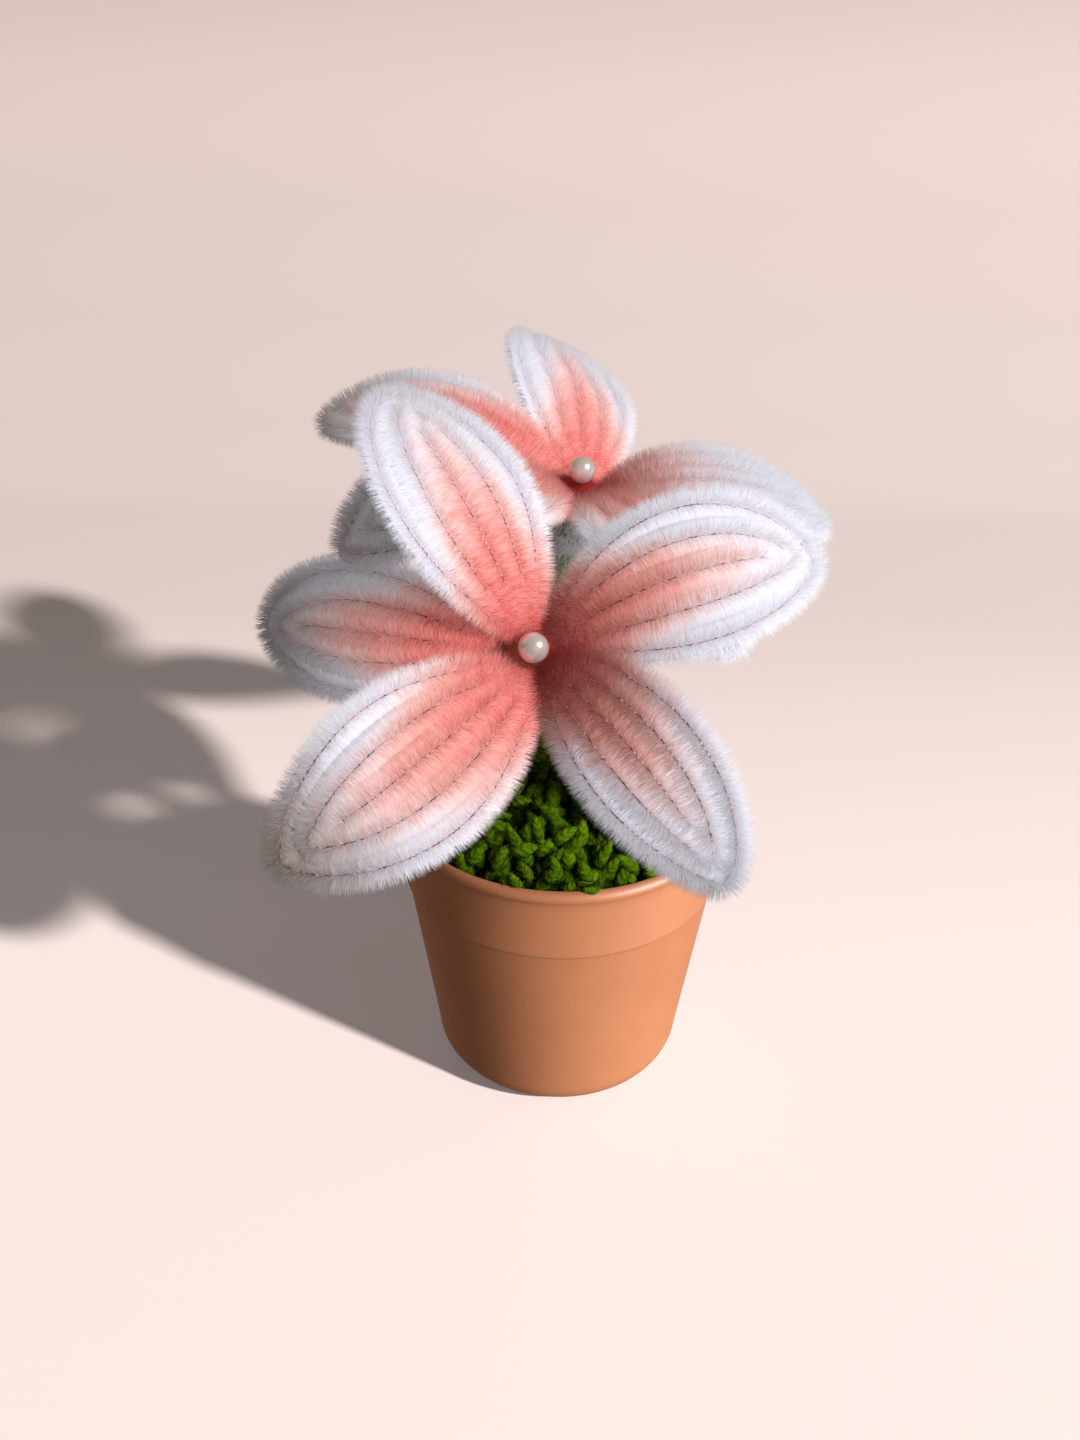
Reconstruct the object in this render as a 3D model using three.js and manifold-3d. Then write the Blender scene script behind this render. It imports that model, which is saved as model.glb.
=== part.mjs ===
// Potted frangipani ornament: two five-petalled flowers bent from fuzzy chenille
// stems, each with a pearl bead, standing in a small plastic pot topped with yarn moss.
// Millimetres, +Z up, origin at the centre of the pot's resting face.
import * as THREE from "three";
import * as BufferGeometryUtils from "three/addons/utils/BufferGeometryUtils.js";
import Module from "manifold-3d";

const wasm = await Module();
wasm.setup();

const clearance = 0.3;

// Pot
const potHeight = 59;
const rimRadius = 32.5;
const lipRadius = 1.35;
const collarRadius = 31.8;
const collarDepth = 14.8;
const stepInset = 0.5;
const footRadius = 26;
const footFillet = 6.5;
const innerRimRadius = 30.9;
const innerFootRadius = 24.4;
const innerFillet = 5;
const floorThickness = 2;
const potSides = 48;

// What the pot holds
const plugTop = 50;
const mossEdgeHeight = 56.5;
const mossTop = 70.5;
const mossSides = 32;

// Stems
const stemRadius = 1.7;
const stemSides = 10;
const stemSteps = 22;

// Flower hearts, where the petals' wires are gathered and bound
const heartFaceDistance = 6.2;
const heartLowEdge = 1.87;
const heartRimDrop = 0.7;
const heartTopRadius = 3;
const sleeveRadius = 2.9;
const sleeveTop = -5.5;
const sleeveBottom = -9;
const socketTop = -5;
const heartSides = 20;

// Pearl beads on their wire pegs
const beadRadius = 3;
const beadBore = 0.8;
const beadBoreDepth = 3;
const pegRadius = 0.5;
const pegSocketDepth = 3;

// Chenille stems
const fringe = 4;
const tipInset = 3.9;
const strandRadius = 3.1;
const thinnestStrand = 0.24;
const tipStrandRadius = 1.3;
const crossCurve = 2;
const startDistance = heartFaceDistance + clearance;
const innerLoopEnd = 0.9;
const midStrandEnd = 0.79;
const strandSides = 6;
const midribSteps = 80;

// A petal's turn about the flower's axis, rise at the heart, droop at the tip, sideways
// sweep and twist (degrees), then its length and half width with the fringe.
function petal(name, turn, rise, droop, sweep, twist, length, half) {
  return { name, turn, rise, droop, sweep, twist, length, half };
}

const flowers = [
  {
    name: "front",
    base: [-5.8, 8.8, 86.3],
    tilt: 52.5,
    facing: -0.5,
    beadHeight: 9.2,
    stem: [
      [-5.8, 19.5, 75.5],
      [-5.4, 17.5, 67],
      [-5, 12.5, 57],
      [-5, 9, 46],
      [-5, 8.5, 34],
    ],
    petals: [
      petal("upper_left", 117.2, 47.6, -48.6, 15.8, 35.3, 70.9, 16.5),
      petal("right", 24.2, 51.8, -59, -22.4, -2.3, 71, 17),
      petal("lower_right", -48.7, 58.8, -55.8, -9.9, 25.2, 70.8, 14.2),
      petal("lower_left", 229.6, 50.6, -34.7, -30.5, -13.4, 73, 17.5),
      petal("left", 171.4, 16.7, -63.8, -11.8, -25.1, 70.7, 15.9),
    ],
  },
  {
    name: "back",
    base: [1.1, 57.8, 100.4],
    tilt: 18.7,
    facing: 34.3,
    beadHeight: 11.3,
    stem: [
      [-1, 60.5, 84],
      [0.2, 51, 74],
      [2.5, 37, 68.5],
      [4.4, 23, 62.5],
      [5, 13, 53],
      [5, 9, 43],
      [5, 8.5, 34],
    ],
    petals: [
      petal("top", 95.1, 37.8, -31.9, 40.5, 24.4, 70.9, 17.1),
      petal("left", 160.8, 40, -49.9, 10.7, -8, 71.2, 16.7),
      petal("right", 11.4, 34.7, -45.4, -3.4, -2.6, 70.8, 16.8),
      petal("lower_left", 220.6, 48.5, -48, -8.2, -4.1, 71, 16.5),
      petal("lower_right", -60, 48.6, -42.3, -2.3, 7.6, 71, 16.8),
    ],
  },
];

const finishes = {
  pot: new THREE.MeshStandardMaterial({ color: 0xc9774b, roughness: 0.42, metalness: 0 }),
  plug: new THREE.MeshStandardMaterial({ color: 0xded8cc, roughness: 0.95, metalness: 0 }),
  moss: new THREE.MeshStandardMaterial({ color: 0x4f8f16, roughness: 0.95, metalness: 0 }),
  tape: new THREE.MeshStandardMaterial({ color: 0x6d8f4a, roughness: 0.8, metalness: 0 }),
  wire: new THREE.MeshStandardMaterial({ color: 0x8c8f92, roughness: 0.35, metalness: 1 }),
  pearl: new THREE.MeshStandardMaterial({ color: 0xf1e9e2, roughness: 0.22, metalness: 0 }),
  rose: new THREE.MeshStandardMaterial({ color: 0xd9635f, roughness: 0.9, metalness: 0 }),
  blush: new THREE.MeshStandardMaterial({ color: 0xf0b3ae, roughness: 0.9, metalness: 0 }),
  white: new THREE.MeshStandardMaterial({ color: 0xeceaf2, roughness: 0.9, metalness: 0 }),
};

const ornament = new THREE.Group();

// Merge shared corners and drop the slivers that collapse at a pole.
function weld(geometry) {
  geometry.deleteAttribute("normal");
  geometry.deleteAttribute("uv");
  const welded = BufferGeometryUtils.mergeVertices(geometry, 1e-4);
  const corners = welded.getIndex().array;
  const kept = [];
  for (let i = 0; i < corners.length; i += 3) {
    const [a, b, c] = [corners[i], corners[i + 1], corners[i + 2]];
    if (a !== b && b !== c && c !== a) {
      kept.push(a, b, c);
    }
  }
  welded.setIndex(kept);
  welded.computeVertexNormals();
  return welded;
}

function toSolid(geometry) {
  const vertProperties = new Float32Array(geometry.getAttribute("position").array);
  const triVerts = new Uint32Array(geometry.getIndex().array);
  return new wasm.Manifold(new wasm.Mesh({ numProp: 3, vertProperties, triVerts }));
}

function toGeometry(solid) {
  const mesh = solid.getMesh();
  const geometry = new THREE.BufferGeometry();
  geometry.setAttribute("position", new THREE.BufferAttribute(new Float32Array(mesh.vertProperties), 3));
  geometry.setIndex(Array.from(mesh.triVerts));
  geometry.computeVertexNormals();
  return geometry;
}

function addPiece(parent, name, geometry, finish) {
  const mesh = new THREE.Mesh(geometry, finish.clone());
  mesh.name = name;
  parent.add(mesh);
  return mesh;
}

// A turned shape about +Z from [radius, height] points that start and end on the axis.
function turned(points, sides) {
  const profile = points.map(([radius, height]) => new THREE.Vector2(radius, height));
  const geometry = new THREE.LatheGeometry(profile, sides);
  geometry.rotateX(Math.PI / 2);
  return weld(geometry);
}

// Points of an arc in a profile, angles in degrees from the outward direction.
function arc(centreRadius, centreHeight, radius, from, to, count) {
  const points = [];
  for (let i = 0; i <= count; i += 1) {
    const angle = THREE.MathUtils.degToRad(from + ((to - from) * i) / count);
    points.push([centreRadius + radius * Math.cos(angle), centreHeight + radius * Math.sin(angle)]);
  }
  return points;
}

function innerWall(height) {
  const share = (height - innerFillet) / (potHeight - lipRadius - innerFillet);
  return innerFootRadius + (innerRimRadius - innerFootRadius) * share;
}

function makePot() {
  const stepHeight = potHeight - collarDepth;
  const lipCentre = potHeight - lipRadius;
  const floorCorner = floorThickness + innerFillet;
  const profile = [
    [0, 0],
    ...arc(footRadius - footFillet, footFillet, footFillet, -90, 0, 6),
    [collarRadius - stepInset, stepHeight - 0.4],
    [collarRadius, stepHeight + 0.2],
    [collarRadius, lipCentre - 2 * lipRadius],
    ...arc(rimRadius - lipRadius, lipCentre, lipRadius, -50, 90, 6),
    [innerRimRadius + 0.25, potHeight - 0.35],
    [innerRimRadius, lipCentre],
    ...arc(innerWall(floorCorner) - innerFillet, floorCorner, innerFillet, 0, -90, 4),
    [0, floorThickness],
  ];
  addPiece(ornament, "pot", turned(profile, potSides), finishes.pot);
}

function stemCurve(flower) {
  const sleeveEnd = flowerPoint(flower, sleeveBottom);
  const socketEnd = flowerPoint(flower, socketTop - clearance);
  const belowSleeve = flowerPoint(flower, sleeveBottom - 2.5);
  const route = flower.stem.map((point) => new THREE.Vector3(...point));
  return new THREE.CatmullRomCurve3([socketEnd, sleeveEnd, belowSleeve, ...route], false, "centripetal");
}

function roundBar(curve, radius, sides, steps) {
  const section = new THREE.Shape();
  section.absarc(0, 0, radius, 0, 2 * Math.PI, false);
  const bar = new THREE.ExtrudeGeometry(section, {
    curveSegments: sides / 2,
    steps,
    extrudePath: curve,
    bevelEnabled: false,
  });
  return weld(bar);
}

// The route of a stem, lengthened past its foot so that a bore cut with it clears the end.
function boreCurve(flower) {
  const points = stemCurve(flower).getPoints(40);
  const foot = points[points.length - 1].clone();
  foot.z -= clearance;
  return new THREE.CatmullRomCurve3([...points, foot], false, "centripetal");
}

function cutStemBores(geometry) {
  let solid = toSolid(geometry);
  for (const flower of flowers) {
    const bore = roundBar(boreCurve(flower), stemRadius + clearance, stemSides, 3 * stemSteps);
    solid = solid.subtract(toSolid(bore));
  }
  return toGeometry(solid);
}

function makeFilling() {
  const floorHeight = floorThickness + clearance;
  const plugCorner = floorHeight + innerFillet;
  const plug = turned([
    [0, floorHeight],
    ...arc(innerWall(plugCorner) - clearance - innerFillet, plugCorner, innerFillet, -90, 0, 4),
    [innerWall(plugTop) - clearance, plugTop],
    [0, plugTop],
  ], potSides);
  addPiece(ornament, "filler_plug", cutStemBores(plug), finishes.plug);

  const mossFloor = plugTop + clearance;
  const edge = innerWall(mossEdgeHeight) - clearance - 0.2;
  const dome = [];
  for (let i = 0; i <= 7; i += 1) {
    const share = i / 7;
    const height = mossEdgeHeight + (mossTop - mossEdgeHeight) * Math.sin((share * Math.PI) / 2);
    dome.push([edge * (1 - share ** 1.6), height]);
  }
  const underside = [[0, mossFloor], [innerWall(mossFloor) - clearance - 0.2, mossFloor]];
  const moss = turned([...underside, ...dome], mossSides);
  addPiece(ornament, "moss_mound", cutStemBores(moss), finishes.moss);
}

// Axes of a flower: n is the way it faces, e1 and e2 lie in its plane.
function flowerAxes(flower) {
  const tilt = THREE.MathUtils.degToRad(flower.tilt);
  const facing = THREE.MathUtils.degToRad(flower.facing);
  const n = new THREE.Vector3(
    Math.sin(tilt) * Math.sin(facing),
    -Math.sin(tilt) * Math.cos(facing),
    Math.cos(tilt),
  );
  const e1 = new THREE.Vector3(1, 0, 0).addScaledVector(n, -n.x).normalize();
  const e2 = new THREE.Vector3().crossVectors(n, e1);
  return { n, e1, e2 };
}

// A point on a flower's axis, measured from the crossing of its petals' midribs.
function flowerPoint(flower, height) {
  const { n } = flowerAxes(flower);
  return new THREE.Vector3(...flower.base).addScaledVector(n, height);
}

function flowerGroup(flower) {
  const { n, e1, e2 } = flowerAxes(flower);
  const group = new THREE.Group();
  group.position.set(...flower.base);
  group.quaternion.setFromRotationMatrix(new THREE.Matrix4().makeBasis(e1, e2, n));
  ornament.add(group);
  return group;
}

// Stations along a petal's midrib, in its flower's own axes (z is the way it faces).
function midrib(petal) {
  const stations = [];
  const point = new THREE.Vector3();
  const up = new THREE.Vector3(0, 0, 1);
  let before = null;
  for (let i = 0; i <= midribSteps; i += 1) {
    const s = i / midribSteps;
    const slope = THREE.MathUtils.degToRad(petal.rise + (petal.droop - petal.rise) * s ** 1.15);
    const heading = THREE.MathUtils.degToRad(petal.turn + petal.sweep * (s - 0.3));
    const twist = THREE.MathUtils.degToRad(petal.twist * (0.3 + 0.7 * s));
    const outward = new THREE.Vector3(Math.cos(heading), Math.sin(heading), 0);
    const along = outward.clone().multiplyScalar(Math.cos(slope)).addScaledVector(up, Math.sin(slope));
    const flat = new THREE.Vector3().crossVectors(up, outward);
    const face = new THREE.Vector3().crossVectors(along, flat);
    if (before) {
      point.addScaledVector(before.clone().add(along), petal.length / midribSteps / 2);
    }
    before = along;
    stations.push({
      point: point.clone(),
      side: flat.clone().multiplyScalar(Math.cos(twist)).addScaledVector(face, Math.sin(twist)),
      face: face.clone().multiplyScalar(Math.cos(twist)).addScaledVector(flat, -Math.sin(twist)),
    });
  }
  return stations;
}

// Half width of the outermost wire, q from 0 at the heart to 1 at the wire's tip.
function wireHalfWidth(petal, q) {
  const distance = q * (petal.length - tipInset);
  const leaf = Math.max(0, Math.sin(Math.PI * q ** 1.25)) ** (1 - 0.35 * q);
  const claw = 1 - 0.75 * Math.exp(-((distance / 9) ** 2));
  return (petal.half - fringe) * leaf * claw + 0.5 * (1 - q);
}

// A point of the petal's curved surface, with the way the surface faces there.
function petalStation(petal, stations, q, across) {
  const s = q * (1 - tipInset / petal.length) * midribSteps;
  const low = Math.min(Math.floor(s), midribSteps - 1);
  const share = s - low;
  const [a, b] = [stations[low], stations[low + 1]];
  const point = a.point.clone().lerp(b.point, share);
  const side = a.side.clone().lerp(b.side, share).normalize();
  const face = a.face.clone().lerp(b.face, share).normalize();
  point.addScaledVector(side, across);
  point.addScaledVector(face, -crossCurve * (across / petal.half) ** 2);
  return { point, face };
}

// Half width of the inner loop, which closes before the outer one.
function innerHalfWidth(petal, q) {
  const closing = Math.sqrt(Math.max(0, 1 - (q / innerLoopEnd) ** 8));
  return 0.5 * closing * wireHalfWidth(petal, q);
}

// A strand fills the room to its neighbour, less the clearance.
function strandThickness(spacing, q) {
  const least = q > 0.5 ? tipStrandRadius : thinnestStrand;
  return Math.min(strandRadius, Math.max(least, (spacing - clearance) / 2));
}

// Rings of a strand: up one side of the petal, round the tip and down the other side.
function loopRings(petal, stations, end, halfWidthAt, halfCount) {
  const start = startDistance / Math.cos(THREE.MathUtils.degToRad(petal.rise - 45));
  const first = start / (petal.length - tipInset);
  const rings = [];
  for (let i = -halfCount; i <= halfCount; i += 1) {
    const t = 1 - Math.abs(i) / halfCount;
    const q = first + (end - first) * (1 - (1 - t) ** 1.5);
    const halfWidth = halfWidthAt(petal, q);
    const spacing = Math.min(wireHalfWidth(petal, q) / 2, halfWidth);
    const across = i === 0 ? 0 : -Math.sign(i) * halfWidth;
    rings.push({ ...petalStation(petal, stations, q, across), radius: strandThickness(spacing, q) });
  }
  return rings;
}

function midRings(petal, stations, count) {
  const start = startDistance / Math.cos(THREE.MathUtils.degToRad(petal.rise - 45));
  const first = start / (petal.length - tipInset);
  const rings = [];
  for (let i = 0; i <= count; i += 1) {
    const q = first + ((midStrandEnd - first) * i) / count;
    const roundedEnd = i === count ? 0.55 : 1;
    const radius = roundedEnd * strandThickness(innerHalfWidth(petal, q), q);
    rings.push({ ...petalStation(petal, stations, q, 0), radius });
  }
  return rings;
}

// A straight round bar, bent and tapered along the rings.
function strand(rings) {
  const section = new THREE.Shape();
  section.absarc(0, 0, 1, 0, 2 * Math.PI, false);
  const steps = rings.length - 1;
  const bar = new THREE.ExtrudeGeometry(section, {
    curveSegments: strandSides / 2,
    steps,
    depth: steps,
    bevelEnabled: false,
  });
  const frames = rings.map((ring, i) => {
    const before = rings[Math.max(0, i - 1)].point;
    const after = rings[Math.min(steps, i + 1)].point;
    const along = after.clone().sub(before).normalize();
    const up = ring.face.clone().addScaledVector(along, -along.dot(ring.face)).normalize();
    return { across: new THREE.Vector3().crossVectors(up, along), up };
  });
  const position = bar.getAttribute("position");
  for (let i = 0; i < position.count; i += 1) {
    const index = Math.round(position.getZ(i));
    const { point, radius } = rings[index];
    const { across, up } = frames[index];
    const corner = point.clone();
    corner.addScaledVector(across, radius * position.getX(i));
    corner.addScaledVector(up, radius * position.getY(i));
    position.setXYZ(i, corner.x, corner.y, corner.z);
  }
  return weld(bar);
}

function makePetal(group, flower, petal) {
  const stations = midrib(petal);
  const prefix = `${flower.name}_${petal.name}`;
  const outer = loopRings(petal, stations, 1, wireHalfWidth, 17);
  const inner = loopRings(petal, stations, innerLoopEnd, innerHalfWidth, 13);
  const mid = midRings(petal, stations, 11);
  addPiece(group, `${prefix}_outer_loop`, strand(outer), finishes.white);
  addPiece(group, `${prefix}_inner_loop`, strand(inner), finishes.blush);
  addPiece(group, `${prefix}_mid_strand`, strand(mid), finishes.rose);
}

function makeHeart(group, flower) {
  const faceSum = heartFaceDistance * Math.SQRT2;
  const lowRadius = faceSum - heartLowEdge;
  const topHeight = faceSum - heartTopRadius;
  const pegFloor = topHeight - pegSocketDepth;
  const heart = turned([
    [0, socketTop],
    [stemRadius + clearance, socketTop],
    [stemRadius + clearance, sleeveBottom],
    [sleeveRadius, sleeveBottom],
    [sleeveRadius, sleeveTop],
    [lowRadius, heartLowEdge - heartRimDrop],
    [lowRadius, heartLowEdge],
    [heartTopRadius, topHeight],
    [beadBore, topHeight],
    [beadBore, pegFloor],
    [0, pegFloor],
  ], heartSides);
  addPiece(group, `${flower.name}_heart`, heart, finishes.tape);

  const boreBottom = -Math.sqrt(beadRadius ** 2 - beadBore ** 2);
  const boreAngle = THREE.MathUtils.radToDeg(Math.atan2(boreBottom, beadBore));
  const boreTop = beadBoreDepth - beadRadius;
  const bead = turned([[0, boreTop], [beadBore, boreTop], ...arc(0, 0, beadRadius, boreAngle, 90, 8)], 16);
  addPiece(group, `${flower.name}_bead`, bead, finishes.pearl).position.z = flower.beadHeight;

  const pegBottom = pegFloor + clearance;
  const pegTop = flower.beadHeight + boreTop - clearance;
  const peg = new THREE.CylinderGeometry(pegRadius, pegRadius, pegTop - pegBottom, 10);
  peg.rotateX(Math.PI / 2);
  addPiece(group, `${flower.name}_bead_peg`, weld(peg), finishes.wire).position.z = (pegTop + pegBottom) / 2;
}

makePot();
makeFilling();
for (const flower of flowers) {
  const group = flowerGroup(flower);
  makeHeart(group, flower);
  for (const petal of flower.petals) {
    makePetal(group, flower, petal);
  }
  const stem = roundBar(stemCurve(flower), stemRadius, stemSides, stemSteps);
  addPiece(ornament, `${flower.name}_stem`, stem, finishes.tape);
}

export default ornament;
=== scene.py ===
# Potted ornament: two frangipani flowers bent from chenille stems, dressed over the packed
# frame. Sizes below are millimetres, scaled by mm where they meet Blender's metres.
import math
import bmesh
import bpy
import numpy as np
from mathutils import Matrix, Vector


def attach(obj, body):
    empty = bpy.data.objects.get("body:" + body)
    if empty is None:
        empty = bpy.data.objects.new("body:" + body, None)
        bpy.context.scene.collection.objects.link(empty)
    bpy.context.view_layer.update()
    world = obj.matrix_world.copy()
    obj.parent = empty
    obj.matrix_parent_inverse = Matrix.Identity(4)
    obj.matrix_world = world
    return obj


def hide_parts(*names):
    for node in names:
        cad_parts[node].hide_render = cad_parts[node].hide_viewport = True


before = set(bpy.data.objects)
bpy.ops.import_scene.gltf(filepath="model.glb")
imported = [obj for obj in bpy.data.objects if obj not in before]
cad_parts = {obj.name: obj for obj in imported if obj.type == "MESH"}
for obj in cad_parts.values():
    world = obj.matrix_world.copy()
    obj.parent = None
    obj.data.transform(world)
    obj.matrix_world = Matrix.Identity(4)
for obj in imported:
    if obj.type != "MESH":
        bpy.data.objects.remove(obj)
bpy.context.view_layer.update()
mm = 0.001

view = {
    "place": (0, -206.6, 186.8),
    "pitch": 27.95,
    "yaw": -1.23,
    "roll": 0.56,
    "lens": 30,  # on a film 36 high
    "film": 36,
    "nearest": 10,
}

light = {
    "aim": (0, 15, 70),
    "distance": 8000,
    "skyColour": (1.0, 0.83, 0.64),
    "skyStrength": 0.18,
    # Each lamp turns from +X and rises from level, in degrees.
    "hard": {"turn": -33, "rise": 28, "size": 480, "power": 1560, "colour": (1.0, 0.99, 0.98)},
    "pot": {"turn": -30, "rise": 12, "size": 4400, "power": 1350, "colour": (1.0, 1.09, 1.16)},
    "moss": {"turn": -33, "rise": 30, "size": 4200, "power": 1480, "colour": (1.0, 0.99, 0.98)},
    "paper": {"turn": 0, "rise": 88, "size": 3000, "power": 150, "colour": (0.83, 0.96, 1.08)},
    "broad": {"turn": -29, "rise": 35, "size": 3400, "power": 455, "colour": (1.0, 0.99, 0.98)},
    "fill": {"turn": -60, "rise": 14, "size": 2600, "power": 48, "colour": (1.0, 0.99, 0.97),
             "distance": 3000},
    "back": {"turn": 140, "rise": 22, "size": 3000, "power": 130, "colour": (1.0, 0.96, 0.92)},
}


def makeCamera():
    yaw, pitch, roll = (math.radians(view[k]) for k in ("yaw", "pitch", "roll"))
    ahead = Vector((math.sin(yaw) * math.cos(pitch), math.cos(yaw) * math.cos(pitch), -math.sin(pitch)))
    right = Vector((math.cos(yaw), -math.sin(yaw), 0))
    up = right.cross(ahead)
    x = right * math.cos(roll) + up * math.sin(roll)
    y = up * math.cos(roll) - right * math.sin(roll)
    lens = bpy.data.cameras.new("camera")
    lens.lens = view["lens"]
    lens.sensor_fit = "VERTICAL"
    lens.sensor_height = view["film"]
    lens.clip_start = view["nearest"] * mm
    camera = bpy.data.objects.new("camera", lens)
    turned = Matrix((x, y, -ahead)).transposed().to_4x4()
    camera.matrix_world = Matrix.Translation(Vector(view["place"]) * mm) @ turned
    bpy.context.scene.collection.objects.link(camera)
    bpy.context.scene.camera = camera


def addLamp(name, lit, shadedBy=None):
    # The lamp lights only the pieces of the first collection. Where there is a second one,
    # only its pieces shade the lamp.
    values = light[name]
    turn, rise = math.radians(values["turn"]), math.radians(values["rise"])
    away = Vector((math.cos(turn) * math.cos(rise), math.sin(turn) * math.cos(rise), math.sin(rise)))
    lamp = bpy.data.lights.new(name + "Lamp", "AREA")
    lamp.shape = "DISK"
    lamp.size = values["size"] * mm
    lamp.energy = values["power"]
    lamp.color = values["colour"]
    holder = bpy.data.objects.new(name + "Lamp", lamp)
    distance = values.get("distance", light["distance"])
    holder.location = (Vector(light["aim"]) + away * distance) * mm
    holder.rotation_euler = away.to_track_quat("Z", "Y").to_euler()
    holder.light_linking.receiver_collection = lit
    holder.light_linking.blocker_collection = shadedBy
    bpy.context.scene.collection.objects.link(holder)
    return holder


litHard = bpy.data.collections.new("floorAndPlug")
litPot = bpy.data.collections.new("potOnly")
litMoss = bpy.data.collections.new("mossOnly")
litSoft = bpy.data.collections.new("blooms")
litPaper = bpy.data.collections.new("floorOnly")
litBack = bpy.data.collections.new("ornament")
shading = bpy.data.collections.new("allButThePile")


def makeStudio():
    # In the photo the blooms glow through and the paper carries a hard shadow, so each has a
    # lamp of its own from about the same side: a hard one for the paper, which lights the
    # hidden plug too, a broad one each for the pot, the moss and the blooms, and a fill that
    # passes through the petals. A weak lamp on the paper alone opens the shadow on it, and a
    # weak one from behind lifts the sides turned away.
    addLamp("hard", litHard)
    addLamp("pot", litPot, shading)
    addLamp("moss", litMoss, shading)
    addLamp("paper", litPaper, litPaper)
    addLamp("broad", litSoft, shading)
    fill = addLamp("fill", litSoft, litPaper)
    back = addLamp("back", litBack, shading)
    for lamp in (fill, back):
        lamp.visible_glossy = False  # one highlight on each pearl
    world = bpy.data.worlds.new("room")
    world.use_nodes = True
    sky = world.node_tree.nodes["Background"]
    sky.inputs["Color"].default_value = (*light["skyColour"], 1)
    sky.inputs["Strength"].default_value = light["skyStrength"]
    bpy.context.scene.world = world
    bpy.context.scene.view_settings.view_transform = "Standard"


makeCamera()
makeStudio()
print("stage: camera and lamps")

lampOf = {"pot_plastic": litPot, "yarn_moss": litMoss}  # any other slot is lit as the blooms are
weldGap = 1e-7  # in metres


def lightPiece(piece, lit):
    lit.objects.link(piece)
    litBack.objects.link(piece)


def finishPiece(piece, slot, material, *nodes):
    lightPiece(piece, lampOf.get(slot, litSoft))
    if not piece.name.endswith("_pile"):
        shading.objects.link(piece)
    piece.data.materials.clear()
    piece.data.materials.append(material)
    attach(piece, "root")
    if nodes:
        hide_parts(*nodes)


def finishHidden(name, material, lit):
    # A solid of the frame that shows as it is.
    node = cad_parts[name]
    node.data.materials[0] = material
    lightPiece(node, lit)


def addObject(name, mesh):
    piece = bpy.data.objects.new(name, mesh)
    bpy.context.scene.collection.objects.link(piece)
    return piece


def fromBmesh(name, bm):
    mesh = bpy.data.meshes.new(name)
    bm.to_mesh(mesh)
    bm.free()
    return addObject(name, mesh)


def spunProfile(profile, steps):
    bm = bmesh.new()
    corners = [bm.verts.new((radius * mm, 0, height * mm)) for radius, height in profile]
    edges = [bm.edges.new(pair) for pair in zip(corners, corners[1:])]
    bmesh.ops.spin(bm, geom=corners + edges, cent=(0, 0, 0), axis=(0, 0, 1),
                   angle=2 * math.pi, steps=steps, use_merge=True)
    bmesh.ops.remove_doubles(bm, verts=bm.verts, dist=weldGap)
    bmesh.ops.recalc_face_normals(bm, faces=bm.faces)
    return bm


def turnedShape(name, profile, steps, crease):
    piece = fromBmesh(name, spunProfile(profile, steps))
    piece.data.shade_smooth()
    piece.data.set_sharp_from_angle(angle=math.radians(crease))
    return piece


def arcPoints(centreRadius, centreHeight, radius, start, end, count):
    angles = [math.radians(start + (end - start) * i / count) for i in range(count + 1)]
    return [(centreRadius + radius * math.cos(a), centreHeight + radius * math.sin(a)) for a in angles]


def slopePoints(start, end, steps, groove=0.0):
    # Even steps from start to end, with every other point drawn in by the groove.
    (r0, z0), (r1, z1) = start, end
    return [(r0 + (r1 - r0) * k / steps - groove * (k % 2), z0 + (z1 - z0) * k / steps)
            for k in range(steps + 1)]


def unit(rows):
    return rows / np.linalg.norm(rows, axis=-1, keepdims=True)


def shapeArrays(bm):
    bmesh.ops.triangulate(bm, faces=bm.faces)
    bmesh.ops.recalc_face_normals(bm, faces=bm.faces)
    bm.verts.index_update()
    points = np.array([v.co for v in bm.verts])
    faces = np.array([[v.index for v in f.verts] for f in bm.faces])
    bm.free()
    return points, faces


def fibreShape():
    # A closed sliver of four faces, widest low down and drawn to a point at both ends.
    bm = bmesh.new()
    for spot in ((-0.4, 0, 0), (0.3, 1, 0.3), (0.3, -1, 0.36), (0, 0, 1)):
        bm.verts.new(spot)
    bmesh.ops.convex_hull(bm, input=bm.verts)
    return shapeArrays(bm)


def plant(shape, roots, ways, sides, lengths, radii, bends):
    # One copy of the shape for each root, standing along its way and bent towards its tip.
    points, faces = shape
    x, y, z = points.T
    ways = unit(ways)
    across = unit(np.cross(ways, sides))
    over = np.cross(ways, across)
    placed = roots[:, None] + ways[:, None] * (lengths[:, None] * z)[..., None]
    placed = placed + bends[:, None] * (z ** 2)[None, :, None]
    placed = placed + across[:, None] * (radii[:, None] * x)[..., None]
    placed = placed + over[:, None] * (radii[:, None] * y)[..., None]
    corners = faces[None] + (np.arange(len(roots)) * len(points))[:, None, None]
    # A copy bent through its own side is turned inside out, so its faces are turned back.
    first, second, third = np.moveaxis((placed - roots[:, None])[:, faces], 2, 0)
    inside = (first * np.cross(second, third)).sum((1, 2)) < 0
    corners[inside] = corners[inside][:, :, ::-1]
    return placed.reshape(-1, 3), corners.reshape(-1, 3)


def addLayer(mesh, name, kind, field, values):
    layer = mesh.attributes.new(name, kind, "POINT")
    layer.data.foreach_set(field, np.ascontiguousarray(values, np.float32).ravel())


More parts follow.
